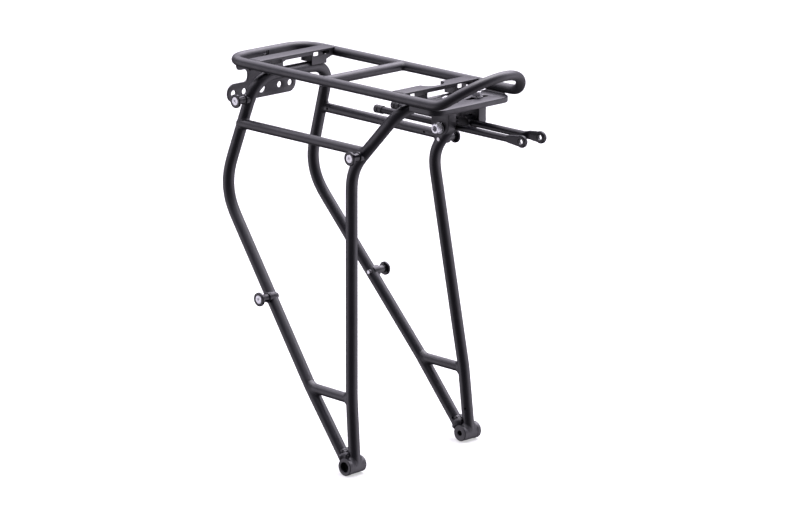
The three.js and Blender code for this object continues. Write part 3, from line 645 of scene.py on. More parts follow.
def fillet(host, host_r, origin, direction, radius, width, ripples=26):
    """Weld around the place where a straight tube leaves a host tube."""
    origin, direction = np.array(origin, float), unit(np.array(direction, float))
    near = np.linalg.norm(host - origin, axis=1) < 45 * MM
    host = host[near]
    side = unit(np.cross(direction, unit(host[-1] - host[0])))
    other = np.cross(direction, side)
    sections = []
    for i in range(FILLET_POINTS):
        angle = 2 * np.pi * i / FILLET_POINTS
        out = np.cos(angle) * side + np.sin(angle) * other
        base = origin + radius * out

        def gap(s):
            p = base + direction * s
            return np.linalg.norm(p - nearest(host, p)) - host_r

        low, high = 0.0, 0.0
        while gap(high) < 0 and high < 60 * MM:
            low, high = high, high + 1 * MM
        for _ in range(14):
            mid = (low + high) / 2
            low, high = (mid, high) if gap(mid) < 0 else (low, mid)
        foot = base + direction * high
        axis_point = nearest(host, foot)
        normal = unit(foot - axis_point)
        away = out - (out @ normal) * normal
        if np.linalg.norm(away) < 0.05:
            away = -direction + (direction @ normal) * normal
        away = unit(away)
        leg = width * (1 + 0.12 * math.sin(3 * angle + 0.7))
        on_host = foot + away * leg
        hub = nearest(host, on_host)
        on_host = hub + unit(on_host - hub) * (host_r - SUNK)
        on_tube = foot + direction * leg - out * SUNK
        control = foot + FILLET_HOLLOW * ((on_host + on_tube) / 2 - foot)
        bulge = unit(out + normal)
        phase = (ripples * i / FILLET_POINTS) % 1.0
        scale = SCALE_LIFT * (1 - phase) ** 0.6
        row = []
        for k in range(7):
            t = k / 6
            p = (1 - t) ** 2 * on_host + 2 * t * (1 - t) * control + t * t * on_tube
            row.append(p + bulge * scale * math.sin(math.pi * t))
        row.append(foot - (out + normal) * 0.9 * MM)
        sections.append(row)
    return loft(sections, closed=True)


def bead(path, radius, ripple, ripples, reference):
    """Weld bead along a path, with the scales of a hand weld."""
    path = even(np.asarray(path, float), 0.25 * MM)
    count = len(path)
    rows = []
    for i, (centre, tangent) in enumerate(zip(path, np.gradient(path, axis=0))):
        share = i / (count - 1)
        phase = (ripples * share) % 1.0
        end = min(1.0, min(share, 1 - share) * 12 + 0.25)
        r = radius * end + ripple * (1 - phase) ** 0.6
        rows.append(hoop(centre, tangent, reference, r, 20))
    return loft(rows)


# ---- tubes of the fixed frame

coated("deck_loop", tube(PATHS["deck"], RAIL_R, Z, closed=True), ["deck_loop_tube"])

VENT_R = 1.35 * MM


def vent(point, direction):
    """Cutter for a small vent hole in a tube's wall."""
    return rod(point + direction * 1.5 * MM, point - direction * 2.4 * MM, VENT_R, 24)


def at_height(path, z, sign):
    """Point of a leg path at a height, on one side."""
    half = path[(path[:, 1] * sign > 0)]
    return half[np.argmin(abs(half[:, 2] - z))]


def leg_vents(path, z, turn):
    """Holes on the inner faces, turned towards the front by an angle in degrees."""
    cutters = []
    for _, sign in SIDES:
        centre = at_height(path, z, sign)
        inward = np.array([math.sin(math.radians(turn)), -sign * math.cos(math.radians(turn)), 0.0])
        cutters.append(vent(centre + inward * LEG_R, inward))
    return cutters


foot_x, _, foot_z = centre_of("foot_boss_left")
for place, height, turn in (("front", 25 * MM, 24), ("rear", 13 * MM, 26)):
    coated(f"{place}_arch", tube(PATHS[place], LEG_R, X), [f"{place}_leg_arch"],
           leg_vents(PATHS[place], foot_z + height, turn))

CROSS = straight_path("deck_cross_tube", 2.5 * MM)
coated("cross_tube", tube(CROSS, RAIL_R, X), ["deck_cross_tube"])

for side, sign in SIDES:
    rail = straight_path(f"side_rail_{side}", 3 * MM)
    inward = np.array([0, -sign, 0.0])
    rail_low, rail_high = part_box(f"side_rail_{side}")
    cutters = []
    for x in (rail_low.x + 12 * MM, rail_high.x - 21 * MM):
        centre = nearest(rail, np.array([x, rail[0][1], rail[0][2]]))
        cutters.append(vent(centre + inward * RAIL_R, inward))
    coated(f"side_rail_tube_{side}", tube(rail, RAIL_R, Z), [f"side_rail_{side}"], cutters)
    brace = straight_path(f"lower_brace_{side}", 3 * MM)
    coated(f"lower_brace_tube_{side}", tube(brace, RAIL_R, Z), [f"lower_brace_{side}"])
    welds = []
    for path, width in ((rail, 2.6 * MM), (brace, 3.6 * MM)):
        ahead = unit(path[-1] - path[0])
        for host, start, direction in (("rear", path[0], ahead), ("front", path[-1], -ahead)):
            inside = nearest(PATHS[host], start)
            origin = start + ahead * ((inside - start) @ ahead)
            welds.append(fillet(PATHS[host], LEG_R, origin, direction, RAIL_R, width))
    welded(f"side_welds_{side}", welds)

welds = []
# The loop's seam is moved to the front of the hoop, clear of both welds.
deck_line = np.roll(PATHS["deck"], -int(np.argmax(PATHS["deck"][:, 0])), axis=0)
for end, far_end in ((CROSS[0], CROSS[-1]), (CROSS[-1], CROSS[0])):
    direction = unit(far_end - end)
    inside = nearest(deck_line, end)
    origin = end + direction * ((inside - end) @ direction)
    welds.append(fillet(deck_line, RAIL_R, origin, direction, RAIL_R * 0.995, 2.4 * MM, 22))
welded("cross_tube_welds", welds)

# ---- feet

BORE_R, RECESS_R, SPIGOT_R = 2.75 * MM, 5.2 * MM, 8.35 * MM
# Weld lumps across the web: drop and radius in mm, number of lumps, shift forwards in mm.
WEB_BEADS = ((2.6, 3.0, 3, 0.6), (5.6, 3.6, 3, 0.0), (1.2, 2.2, 2, -1.6))
# Beads over the boss, forwards and up from its axis in mm, on its outer and inner face.
OUTER_BEAD = ((-10, 7.0), (-6.5, 9.6), (-3, 11.0), (0.5, 10.6))
INNER_BEAD = ((-12, 6.0), (-8.5, 9.4), (-5, 11.2), (-1.5, 10.6))

for side, sign in SIDES:
    low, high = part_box(f"foot_boss_{side}")
    foot_inner_y, foot_outer_y = faces_out(f"foot_boss_{side}")
    length, radius = high.y - low.y, (high.z - low.z) / 2
    waist = radius - 0.3 * MM
    profile = [(BORE_R, 0), (SPIGOT_R, 0), (SPIGOT_R, 5.2 * MM), (waist, 5.9 * MM),
               (waist, length - 5 * MM), (radius, length - 4.6 * MM),
               (radius, length), (RECESS_R, length), (RECESS_R, length - 6 * MM),
               (BORE_R, length - 6 * MM), (BORE_R, 0)]
    coated(f"boss_{side}", lathe(profile, (foot_x, sign * foot_inner_y, foot_z), (0, sign, 0), 0.7 * MM),
           [f"foot_boss_{side}"])
    boss_line = np.array([[foot_x, y, foot_z] for y in np.linspace(low.y, high.y, 12)])
    welds = []
    for host in ("rear", "front"):
        start = at_height(PATHS[host], foot_z, sign)
        ahead = at_height(PATHS[host], foot_z + 25 * MM, sign)
        welds.append(fillet(boss_line, radius, start, ahead - start, LEG_R, 2.4 * MM, 24))
    middle = (low.y + high.y) / 2 - sign * 0.4 * MM
    web_x, web_z = centre_of(f"foot_gusset_{side}")[0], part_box(f"foot_gusset_{side}")[1].z
    for drop, thick, lumps, shift in WEB_BEADS:
        across = [[web_x + (shift + 0.5 * math.sin(4 * t + drop)) * MM,
                   middle + t * (5.6 - 0.4 * drop) * MM - sign * 0.6 * MM,
                   web_z - (drop + 1.2 * t * t) * MM] for t in np.linspace(-1, 1, 9)]
        welds.append(bead(across, thick * MM, 0.75 * MM, lumps, X))
    for face_y, line in ((foot_outer_y - 5.6 * MM, OUTER_BEAD), (foot_inner_y + 4.2 * MM, INNER_BEAD)):
        for rise, size, lumps in ((0.0, 2.7, 4), (-2.6, 2.6, 5)):
            path = [[foot_x + x * MM, sign * (face_y + 0.5 * math.sin(3 * x) * MM),
                     foot_z + (z + rise) * MM] for x, z in line]
            welds.append(bead(soften(even(path, 1 * MM), 1.2), size * MM, 0.8 * MM, lumps, Y))
    welded(f"foot_welds_{side}", welds, [f"foot_gusset_{side}"])

# ---- deck plates

SHEET = 1.6 * MM
WINDOW_HALF = 20.4 * MM
SLOT_SPAN = (22.2 * MM, 44.6 * MM)
RIB = 1.8 * MM
FLANGE_END = 49.9 * MM
BEYOND_END = 62 * MM


def channel(low, high):
    """Folded sheet across the deck: a top and two flanges, drawn in the X-Z plane."""
    top, inner = high.z, high.z - SHEET
    outline = [(low.x, low.z), (low.x, top), (high.x, top), (high.x, low.z),
               (high.x - SHEET, low.z), (high.x - SHEET, inner),
               (low.x + SHEET, inner), (low.x + SHEET, low.z)]
    return slab(rounded(outline, 0.7 * MM), [], high.y - low.y, 0.3 * MM, (0, high.y, 0), X, Z)


def notch_tool(x, top, half, depth):
    """Cutter for the round notch in a plate's rear edge."""
    points = [(x - 3 * MM, half + 2 * MM), (x, half)]
    for i in range(1, 24):
        t = math.pi * i / 24
        points.append((x + depth * math.sin(t) ** 0.8, half * math.cos(t)))
    points += [(x, -half), (x - 3 * MM, -half - 2 * MM)]
    return slab(points, [], 6 * MM, CUTTER_EDGE, (0, 0, top - 5 * MM), X, Y)


def across_cut(points, start_x, end_x, radius=1.0 * MM):
    """Opening cut along X; points lie in the Y-Z plane."""
    return slab(rounded(points, radius), [], end_x - start_x, CUTTER_EDGE, (start_x, 0, 0), Y, Z)


def deck_plate(name, node, arch, notched):
    low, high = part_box(node)
    legs = tube(PATHS[arch], LEG_R + 0.15 * MM, X)
    under, deep, rib_low = high.z - SHEET, low.z - 9 * MM, high.z - 12.2 * MM
    slot_low, slot_top = high.z - 6.2 * MM, high.z - 2.0 * MM
    both = (low.x - 2 * MM, high.x + 2 * MM)
    rear_flange = (both[0], low.x + SHEET + 1 * MM)
    front_flange = (high.x - SHEET - 1 * MM, both[1])
    window = block(-WINDOW_HALF, WINDOW_HALF, deep, high.z - 4.2 * MM)
    cutters = [legs, tube(PATHS["deck"], RAIL_R - 0.3 * MM, Z, True), across_cut(window, *both)]
    for _, sign in SIDES:
        slot = [y * sign for y in SLOT_SPAN]
        end = BEYOND_END * sign
        wedge = [(41 * MM * sign, deep), (end, deep), (end, high.z - 7 * MM),
                 (50 * MM * sign, high.z - 8.2 * MM), (41 * MM * sign, high.z - 11 * MM)]
        below_rib = block((WINDOW_HALF - 1 * MM) * sign, end, deep, rib_low)
        cutters += [across_cut(block(*slot, slot_low, slot_top), *front_flange),
                    across_cut(block(*slot, deep, slot_top), *rear_flange),
                    across_cut(wedge, *front_flange, 0.4 * MM),
                    across_cut(block(FLANGE_END * sign, end, deep, under), *both, 1e-6),
                    across_cut(below_rib, both[0], high.x - SHEET, 0.3 * MM)]
    if notched:
        cutters.append(notch_tool(low.x, high.z, 14.5 * MM, 12 * MM))
    coated(name, channel(low, high), [node], cutters)
    profile = rounded(block(low.x + 0.8 * MM, high.x - 0.8 * MM, rib_low, under + 0.2 * MM), 0.5 * MM)
    ribs = [slab(profile, [], RIB, 0.2 * MM, (0, start, 0), X, Z)
            for start in (WINDOW_HALF + RIB, -WINDOW_HALF)]
    coated(f"{name}_ribs", join(*ribs), [node], [legs])


def rail_weld(start_x, end_x, y, z, ripples):
    """Bead along a rail."""
    line = [[x, y, z] for x in np.linspace(start_x, end_x, 8)]
    return bead(line, 1.5 * MM, 0.25 * MM, ripples, Y)


deck_plate("deck_plate_rear", "rear_deck_plate", "rear", False)
deck_plate("deck_plate_front", "front_deck_plate", "front", True)

welds = []
for node in ("rear_deck_plate", "front_deck_plate"):
    low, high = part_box(node)
    for _, sign in SIDES:
        welds.append(rail_weld(low.x + 1 * MM, high.x - 1 * MM, (rail_y - 4.2 * MM) * sign,
                               high.z - 1.2 * MM, round((high.x - low.x) / (1.5 * MM))))
welded("deck_plate_welds", welds)

# ---- tail-light plate and cable hook

low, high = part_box("tail_light_plate")
bar_r, half = 9.8 * MM, high.y
bar_z = low.z + bar_r
neck, top_half, top_low = 20 * MM, 35.6 * MM, high.z - 13.4 * MM
outline = []
for sign in (1, -1):
    lobe = arc((half - bar_r, bar_z), bar_r, -math.pi / 2, math.pi, 24)
    upper = rounded([(half, bar_z + bar_r), (neck, bar_z + bar_r), (neck, top_low),
                     (top_half, top_low), (top_half, high.z), (0, high.z)], 6 * MM, False, 10)[1:-1]
    outline += [(p[0] * sign, p[1]) for p in lobe + upper][::sign]
clean = [outline[0]]
for p in outline[1:]:
    if math.dist(p, clean[-1]) > 0.05 * MM:
        clean.append(p)
# Two bolt patterns for lights, 50 and 80 mm apart, and a hole in the middle.
holes = [circle(3.15 * MM, (y * MM, bar_z)) for y in (-40, -25, 25, 40)]
holes.append(circle(5 * MM, (0, bar_z)))
coated("light_plate", slab(clean, holes, high.x - low.x, 0.45 * MM, (low.x, 0, 0), Y, Z),
       ["tail_light_plate"])
inner_line = (high.x + 0.2 * MM, high.z - 2.6 * MM, 34 * MM)
upper_line = (low.x + 1.6 * MM, high.z - 0.1 * MM, 34.6 * MM)
lines = [[[x, y, z] for y in np.linspace(-reach, reach, 12)] for x, z, reach in (inner_line, upper_line)]
welded("light_plate_weld", [bead(lines[0], 1.5 * MM, 0.2 * MM, 34, Z),
                            bead(lines[1], 0.9 * MM, 0.15 * MM, 40, Z)])

low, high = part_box("cable_hook")
middle_y = centre_of("cable_hook")[1]
hook = rounded([(low.x + 2 * MM, low.z + 0.5 * MM), (high.x - 1 * MM, low.z + 0.6 * MM),
                (high.x - 0.8 * MM, high.z - 0.8 * MM)], 2.2 * MM, False, 8)
wires = []
for shift in (-1.1 * MM, 1.1 * MM):
    path = [(p[0], middle_y + shift, p[1]) for p in hook]
    wires.append(tube(even(path, 0.5 * MM), 0.7 * MM, Y, sides=20))
piece("cable_hook_wire", join(*wires), "gloss_black", "frame", ["cable_hook"])

# ---- pannier studs


def hex_loop(radius, turn=0.0):
    return arc((0, 0), radius, turn, 2 * math.pi, 6)[:-1]


def basis(axis):
    """Two directions square to an axis, so that across x up = axis."""
    axis = Vector(axis)
    across = Z.cross(axis) if abs(axis.z) < 0.9 else X
    across = across.normalized()
    return across, axis.cross(across)


def socket_head(origin, axis, radius, depth, socket, rim=0.3 * MM, wobble=0.0, waves=0):
    """Drilled and broached screw head that rises from origin along axis."""
    across, up = basis(axis)
    outline = circle(radius, count=144, wobble=wobble, waves=waves)
    return slab(outline, [hex_loop(socket, math.pi / 6)], depth, rim, origin, across, up)


STUD_FACE_R = 4.3 * MM
RECESS = STUD_FACE_R + 0.25 * MM
FACE_DEPTH = 1.9 * MM


def stud(place, side, sign):
    """Turned post, its screw seen in the face, and the nut and screw end inside the tube."""
    nodes = [f"pannier_{part}_{place}_{side}" for part in ("stud", "screw", "lug")]
    x, _, z = centre_of(nodes[0])
    disc_r = size_of(nodes[0])[2] / 2
    outer = faces_out(nodes[0])[1]
    axis = Vector((0, sign, 0))
    leg = PATHS["front"] if place == "front" else PATHS["rear"]
    centre_y = abs(nearest(leg, np.array([x, outer * sign, z]))[1])
    start = centre_y - LEG_R * 0.2
    length = outer - start
    seat = LEG_R * 1.2 + 1.8 * MM
    profile = [(0, 0), (5.5 * MM, 0), (5.5 * MM, seat - 0.4 * MM), (5.0 * MM, seat + 0.2 * MM),
               (4.2 * MM, seat + 0.4 * MM), (4.0 * MM, length - 3.4 * MM),
               (disc_r - 0.5 * MM, length - 2.9 * MM),
               (disc_r, length - 2.3 * MM), (disc_r, length - 0.5 * MM),
               (disc_r - 0.5 * MM, length), (RECESS, length), (RECESS, length - FACE_DEPTH),
               (0, length - FACE_DEPTH)]
    piece(f"stud_{place}_{side}", lathe(profile, (x, start * sign, z), axis, 0.3 * MM),
          "gloss_black", "frame", nodes[:1])
    head_y = outer - FACE_DEPTH
    shell = join(socket_head((x, head_y * sign, z), axis, STUD_FACE_R, 1.75 * MM, 1.6 * MM, 0.4 * MM),
                 lathe(disc(3 * MM, 0.7 * MM), (x, (head_y - 0.1 * MM) * sign, z), axis, 0.05 * MM))
    # The screw face takes the brightened, less metallic zinc look: painted light.
    piece(f"stud_screw_{place}_{side}", shell, "stud_face_painted_light", "frame", nodes[1:2])
    tip = centre_y - LEG_R - 0.35 * MM
    lug = [(2.1 * MM, 0), (3.1 * MM, 0), (3.1 * MM, 3 * MM), (0, 3 * MM), (0, 0.9 * MM),
           (2.1 * MM, 0.9 * MM), (2.1 * MM, 0)]
    piece(f"stud_nut_{place}_{side}", lathe(lug, (x, tip * sign, z), axis, 0.15 * MM),
          "gloss_black", "frame", nodes[2:])
    end = lathe(disc(1.95 * MM, 1.2 * MM), (x, (tip + 0.1 * MM) * sign, z), axis, 0.2 * MM)
    piece(f"stud_screw_end_{place}_{side}", end, "zinc_plate", "frame", nodes[1:2])


for side, sign in SIDES:
    for place in ("rear", "front", "lower"):
        stud(place, side, sign)

# ---- bridge bar

low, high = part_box("bridge_bar")
CORNER = 14 * MM
slot_x, slot_y, _ = centre_of("slot_stem_left")
SLOT_R, SLOT_HALF = 3.3 * MM, 15.2 * MM


def bar_outline(margin):
    """Plan of the bar: square rear corners, large front corners."""
    rear, front, half = low.x + margin, high.x - margin, high.y - margin
    corner = CORNER - margin
    points = [(rear, -half)]
    for centre_y, start in ((-half + corner, -math.pi / 2), (half - corner, 0)):
        points += arc((front - corner, centre_y), corner, start, math.pi / 2, 16)
    points.append((rear, half))
    return points if margin else rounded(points, 1.5 * MM)


def capsule(centre, half, radius):
    """Outline of a slot along Y."""
    ends = [(centre[0], centre[1] + sign * (half - radius)) for sign in (1, -1)]
    return arc(ends[0], radius, 0, math.pi, 16) + arc(ends[1], radius, math.pi, math.pi, 16)


slots = [capsule((slot_x, slot_y * sign), SLOT_HALF, SLOT_R) for _, sign in SIDES]
tray = slab(bar_outline(0), slots, high.z - low.z, 0.9 * MM, (0, 0, low.z), X, Y)
hollow = slab(bar_outline(2.4 * MM), [], high.z - low.z - 3 * MM + 4 * MM, CUTTER_EDGE,
              (0, 0, low.z - 4 * MM), X, Y)
coated("bridge_tray", tray, ["bridge_bar"], [hollow, tube(PATHS["deck"], RAIL_R - 0.2 * MM, Z, True)])
welded("bridge_welds", [rail_weld(low.x + 2 * MM, low.x + 30 * MM, (rail_y - 4.0 * MM) * sign,
                                  high.z - 0.2 * MM, 18) for _, sign in SIDES])

# ---- stay brackets, clamps and stays

STAY_R = 3.5 * MM
BOLT_HOLE_R = 3.2 * MM
WASHER_HOLE_R = 3.3 * MM
THREAD_PITCH = 1.0 * MM
EYE_R = 6.1 * MM
EYE_SIDES = (11.4, 15.7)  # mm from the middle plane
EYE_THIN = 2.15 * MM
FLAT_EXTRA = 0.9 * MM


def beside(pivot, y):
    """Point on the line of a clamp's cross bolt."""
    return pivot.x, y, pivot.z


def hanging(side, sign, pivot, barrel_r):
    """Stay bracket, the stem it hangs from, its washer and its nut."""
    body, node = f"bracket_{side}", f"stay_bracket_{side}"
    low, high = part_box(node)
    top, foot = high.z, low.z
    ear = rounded([(low.x, top), (low.x + 0.8 * MM, foot + 5 * MM), (low.x + 6 * MM, foot),
                   (pivot.x + 6 * MM, foot), (high.x, foot + 6 * MM), (high.x, top)], 5 * MM, True, 8)
    shell = slab(ear, [], high.y - low.y, 0.7 * MM, (0, high.y, 0), X, Z)
    inner = sign * faces_out(node)[0]
    barrel_end = sign * faces_out(f"clamp_barrel_{side}")[1]
    pocket = rod(beside(pivot, inner - sign * 2 * MM), beside(pivot, barrel_end + sign * 0.3 * MM),
                 barrel_r + 0.25 * MM, 64)
    hole = rod(beside(pivot, inner), beside(pivot, inner + sign * 20 * MM), BOLT_HOLE_R)
    coated(f"ear_{side}", shell, [node], [pocket, hole], body)

    node = f"slot_stem_{side}"
    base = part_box(node)[0].z
    x, y, _ = centre_of(node)
    width, _, height = size_of(node)
    radius = width / 2
    profile = [(0, 0), (radius - 0.3 * MM, 0)]
    for i in range(int(height / THREAD_PITCH)):
        z = 0.3 * MM + i * THREAD_PITCH
        profile += [(radius - 0.45 * MM, z), (radius, z + THREAD_PITCH / 2)]
    profile += [(radius - 0.6 * MM, height), (0, height)]
    piece(f"stem_{side}", lathe(profile, (x, y, base), Z, 0.05 * MM, 48), "zinc_plate", body, [node])

    node = f"slot_washer_{side}"
    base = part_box(node)[0].z
    width, _, height = size_of(node)
    washer = lathe(ring(WASHER_HOLE_R, width / 2, height), (x, y, base), Z, 0.25 * MM)
    # The washer takes the darkened zinc look: painted shade.
    piece(f"washer_top_{side}", washer, "zinc_painted_dark", body, [node])

    node = f"slot_nut_{side}"
    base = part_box(node)[0].z
    width, _, height = size_of(node)
    outline = rounded(hex_loop(width / 2 * 0.9), 0.5 * MM)
    nut = slab(outline, [circle(3.1 * MM)], height, 0.45 * MM, (x, y, base), X, Y)
    piece(f"nut_top_{side}", nut, "zinc_plate", body, [node])


def clamping(side, sign, pivot, barrel_r, stay_y):
    """Cross-drilled barrel with its washer and its knurled socket bolt."""
    body, axis = f"clamp_{side}", Vector((0, sign, 0))
    node = f"clamp_barrel_{side}"
    start, end = [sign * y for y in faces_out(node)]
    stay_hole = rod((pivot.x - 20 * MM, stay_y, pivot.z), (pivot.x + 20 * MM, stay_y, pivot.z),
                    STAY_R + 0.35 * MM, 64)
    bolt_hole = rod(beside(pivot, stay_y), beside(pivot, end + sign * 3 * MM), BOLT_HOLE_R)
    barrel = lathe(disc(barrel_r, abs(end - start)), beside(pivot, start), axis, 0.6 * MM)
    piece(f"barrel_{side}", barrel, "anodised_black", body, [node], [stay_hole, bolt_hole])

    node = f"pivot_washer_{side}"
    start, outer = [sign * y for y in faces_out(node)]
    profile = ring(WASHER_HOLE_R, size_of(node)[0] / 2, abs(outer - start))
    washer = lathe(profile, beside(pivot, start), axis, 0.6 * MM)
    # The washer takes the darkened zinc look: painted shade.
    piece(f"washer_side_{side}", washer, "zinc_painted_dark", body, [node])

    node = f"pivot_bolt_{side}"
    head_r = size_of(node)[2] / 2
    tip, end = [sign * y for y in faces_out(node)]
    grip = abs(outer - tip)
    profile = [(0, 0), (2.9 * MM, 0), (2.9 * MM, grip), (head_r - 0.1 * MM, grip),
               (head_r - 0.1 * MM, grip + 2.4 * MM), (0, grip + 2.4 * MM)]
    shank = lathe(profile, beside(pivot, tip), axis, 0.15 * MM)
    cap = socket_head(beside(pivot, outer + sign * 2.2 * MM), axis, head_r - 0.06 * MM,
                      abs(end - outer) - 2.2 * MM, 2.9 * MM, 0.5 * MM, 0.06 * MM, 36)
    # The bolt takes the brightened zinc look: painted light.
    piece(f"bolt_{side}", join(shank, cap), "bolt_head_painted_light", body, [node])


def stay_stations(low, eye_x):
    """Along a stay: place, half thickness, half height and how far it is pressed flat, 0 to 1."""
    flat_x = eye_x - 14.2 * MM
    wide = STAY_R + FLAT_EXTRA
    stations = [(low.x, 3.1 * MM, 3.1 * MM, 0), (low.x + 0.5 * MM, STAY_R, STAY_R, 0)]
    stations += [(x, STAY_R, STAY_R, 0) for x in np.linspace(low.x + 2 * MM, flat_x - 7 * MM, 60)]
    for i in range(1, 15):
        t = i / 14
        s = t * t * (3 - 2 * t)
        stations.append((flat_x - 7 * MM + t * 9 * MM, STAY_R + (EYE_THIN - STAY_R) * s,
                         STAY_R + FLAT_EXTRA * s, s))
    for i in range(1, 13):
        t = i / 12
        x = flat_x + 2 * MM + t * (eye_x - 3 * MM - flat_x - 2 * MM)
        stations.append((x, EYE_THIN, wide + (5.33 * MM - STAY_R - FLAT_EXTRA) * t ** 0.8, 1))
    for i in range(1, 25):
        dx = -3 * MM + (EYE_R + 2.98 * MM) * math.sin(math.pi / 2 * i / 24)
        rim = (1 - (max(dx, 0) / EYE_R) ** 2.3) ** (1 / 2.3) * (1 - 0.014 * min(dx, 0) ** 2 / MM ** 2)
        stations.append((eye_x + dx, EYE_THIN, max(EYE_R * rim, 1e-5), 1))
    return stations


def sliding(side, sign, pivot, stay_y):
    """The stay, a round rod whose front end is pressed flat and drilled, and its end cap."""
    body = f"stay_{side}"
    node = f"stay_rod_{side}"
    low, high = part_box(node)
    eye_x, eye_z = high.x - EYE_R, (high.z + low.z) / 2
    eye_y = sum(EYE_SIDES) / 2 * MM * sign
    sections = []
    for x, thick, tall, share in stay_stations(low, eye_x):
        power, tall_power = 2 + 3 * share, 2 + 0.6 * share
        row = []
        for angle in turns(48):
            c, s = math.cos(angle), math.sin(angle)
            y = stay_y + (eye_y - stay_y) * share + thick * math.copysign(abs(c) ** (2 / power), c)
            z = pivot.z + (eye_z - pivot.z) * share + tall * math.copysign(abs(s) ** (2 / tall_power), s)
            row.append((x, y, z))
        sections.append(row)
    eye = lathe([(0, 0), (3.5 * MM, 0), (3.5 * MM, 1.6 * MM), (2.75 * MM, 2.3 * MM),
                 (2.75 * MM, 5.7 * MM), (3.5 * MM, 6.4 * MM), (3.5 * MM, 8 * MM), (0, 8 * MM)],
                (eye_x, eye_y - 4 * MM, eye_z), Y, 1e-6, 64)
    piece(f"rod_{side}", loft(sections), "anodised_black", body, [node], [eye], sharp=40)

    node = f"stay_cap_{side}"
    length, _, height = size_of(node)
    radius = height / 2
    profile = [(0, 0), (radius - 1 * MM, 0), (radius, 0.9 * MM), (radius, 5.2 * MM),
               (radius - 0.6 * MM, 5.6 * MM), (radius - 0.6 * MM, 6.6 * MM), (radius, 7 * MM),
               (radius, length), (STAY_R, length), (STAY_R, 2 * MM), (0, 2 * MM)]
    cap = lathe(profile, (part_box(node)[0].x, stay_y, pivot.z), X, 0.35 * MM)
    piece(f"cap_{side}", cap, "cap_plastic", body, [node])


for side, sign in SIDES:
    pivot = Vector(centre_of(f"clamp_barrel_{side}"))
    barrel_r = size_of(f"clamp_barrel_{side}")[2] / 2
    stay_y = centre_of(f"stay_rod_{side}")[1]
    hanging(side, sign, pivot, barrel_r)
    clamping(side, sign, pivot, barrel_r, stay_y)
    sliding(side, sign, pivot, stay_y)

# ---- stage, light and camera


PAPER, PAPER_GLOW = (0.42, 0.42, 0.422), 0.50


def stage_material():
    """Pale floor paper, with a little glow so that the shadows stay soft."""
    n = Nodes(bpy.data.materials.new("floor_look"))
    base = n.ramp(n.noise(3, 2), PAPER, [1.03 * part for part in PAPER])
    paper = n.add("ShaderNodeBsdfDiffuse", Color=base)
    glow = n.add("ShaderNodeEmission", Color=(1, 1, 1, 1), Strength=PAPER_GLOW)
    lit = n.add("ShaderNodeAddShader")
    n.feed(lit.inputs[0], paper.outputs["BSDF"])
    n.feed(lit.inputs[1], glow.outputs["Emission"])
    n.add("ShaderNodeOutputMaterial", Surface=lit.outputs["Shader"])
    return n.owner


FLOOR_HALF = 60
corners = [(x, y, 0) for x, y in block(-FLOOR_HALF, FLOOR_HALF, -FLOOR_HALF, FLOOR_HALF)]
floor_mesh = Shell().add(corners, [(0, 1, 2, 3)]).mesh("floor")
floor_mesh.materials.append(stage_material())
floor = bare_object("floor", floor_mesh)
floor.location.z = -0.3 * MM
# The world's lower half stands for what the surroundings throw back, so the floor adds no light of its own.
floor.visible_diffuse = floor.visible_glossy = floor.visible_shadow = False


# Soft boxes above and pale surfaces around: direction, cosines where a patch starts and is full,
# strength. The upper ones end above the horizon.
UPPER = (
    ((-0.45, 0.25, 0.857), 0.34, 0.86, 2.7),
    ((0.10, 0.75, 0.66), 0.74, 0.97, 3.2),
    ((0, 0, 1), 0.80, 1.00, 1.0),
)
LOWER = (
    ((-0.70, 0.714, 0.25), 0.60, 0.98, 0.28),
    ((-0.72, -0.66, -0.22), 0.80, 0.97, 1.4),
    ((0.35, 0.93, 0.05), 0.80, 0.98, 1.0),
    ((0.85, 0.50, 0.00), 0.80, 0.98, 0.8),
    ((0.60, 0.55, -0.58), 0.70, 0.98, 1.2),
)
HORIZON = (0.28, 0.52)
WALLS = 0.12
STUDIO_TINT = (1.02, 0.96, 1.10)


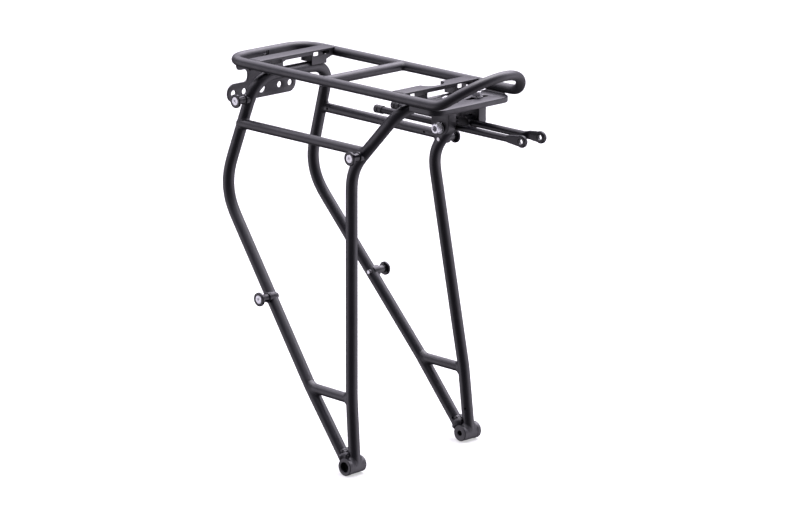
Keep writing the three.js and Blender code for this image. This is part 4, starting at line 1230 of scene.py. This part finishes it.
def studio_world():
    """White backdrop to the camera; around the rack, dark walls with soft bright patches."""
    n = Nodes(bpy.data.worlds.new("studio"), "Generated")

    def patch(towards, start, end, strength):
        dot = n.add("ShaderNodeVectorMath")
        dot.operation = "DOT_PRODUCT"
        n.feed(dot.inputs[0], n.coords)
        n.feed(dot.inputs[1], Vector(towards).normalized())
        limits = {"From Min": start, "From Max": end, "To Min": 0, "To Max": strength}
        ramp = n.add("ShaderNodeMapRange", Value=dot.outputs["Value"], **limits)
        ramp.interpolation_type = "SMOOTHSTEP"
        return ramp.outputs["Result"]

    walls = n.add("ShaderNodeValue").outputs["Value"]
    walls.default_value = WALLS
    upper = patch(*UPPER[0])
    for entry in UPPER[1:]:
        upper = n.math("ADD", upper, patch(*entry))
    total = n.math("ADD", walls, n.math("MULTIPLY", upper, patch(Z, *HORIZON, 1)))
    for entry in LOWER:
        total = n.math("ADD", total, patch(*entry))
    around = n.add("ShaderNodeBackground", Color=(*STUDIO_TINT, 1), Strength=total)
    white = n.add("ShaderNodeBackground", Color=(1, 1, 1, 1))
    mix = n.add("ShaderNodeMixShader", Fac=n.add("ShaderNodeLightPath").outputs["Is Camera Ray"])
    n.feed(mix.inputs[1], around.outputs["Background"])
    n.feed(mix.inputs[2], white.outputs["Background"])
    n.add("ShaderNodeOutputWorld", Surface=mix.outputs["Shader"])
    return n.owner


bpy.context.scene.world = studio_world()


def soft_light(name, location, target, size, power):
    light = bpy.data.lights.new(name, "AREA")
    light.shape = "RECTANGLE"
    light.size, light.size_y = size
    light.energy = power
    obj = bpy.data.objects.new(name, light)
    bpy.context.scene.collection.objects.link(obj)
    obj.location = location
    obj.rotation_euler = (Vector(target) - Vector(location)).to_track_quat("-Z", "Y").to_euler()
    return obj


soft_light("overhead", (-0.1, 0.3, 1.7), (0, 0, 0.25), (1.0, 1.0), 16)

CAMERA_PLACE = (2.70695, -2.751, 1.2263)
CAMERA_AIM = (-0.6761, 0.6900, -0.2582)
ROLL = math.radians(0.70)

camera = bpy.data.objects.new("camera", bpy.data.cameras.new("camera"))
bpy.context.scene.collection.objects.link(camera)
camera.data.sensor_width = 36
camera.data.lens = 178.72
camera.data.clip_end = 200
forward = Vector(CAMERA_AIM).normalized()
level = forward.cross(Z).normalized()
upright = level.cross(forward)
right = level * math.cos(ROLL) + upright * math.sin(ROLL)
up = right.cross(forward)
turn = Matrix((right, up, -forward)).transposed()
camera.matrix_world = Matrix.Translation(CAMERA_PLACE) @ turn.to_4x4()
bpy.context.scene.camera = camera
bpy.context.scene.view_settings.view_transform = "Standard"
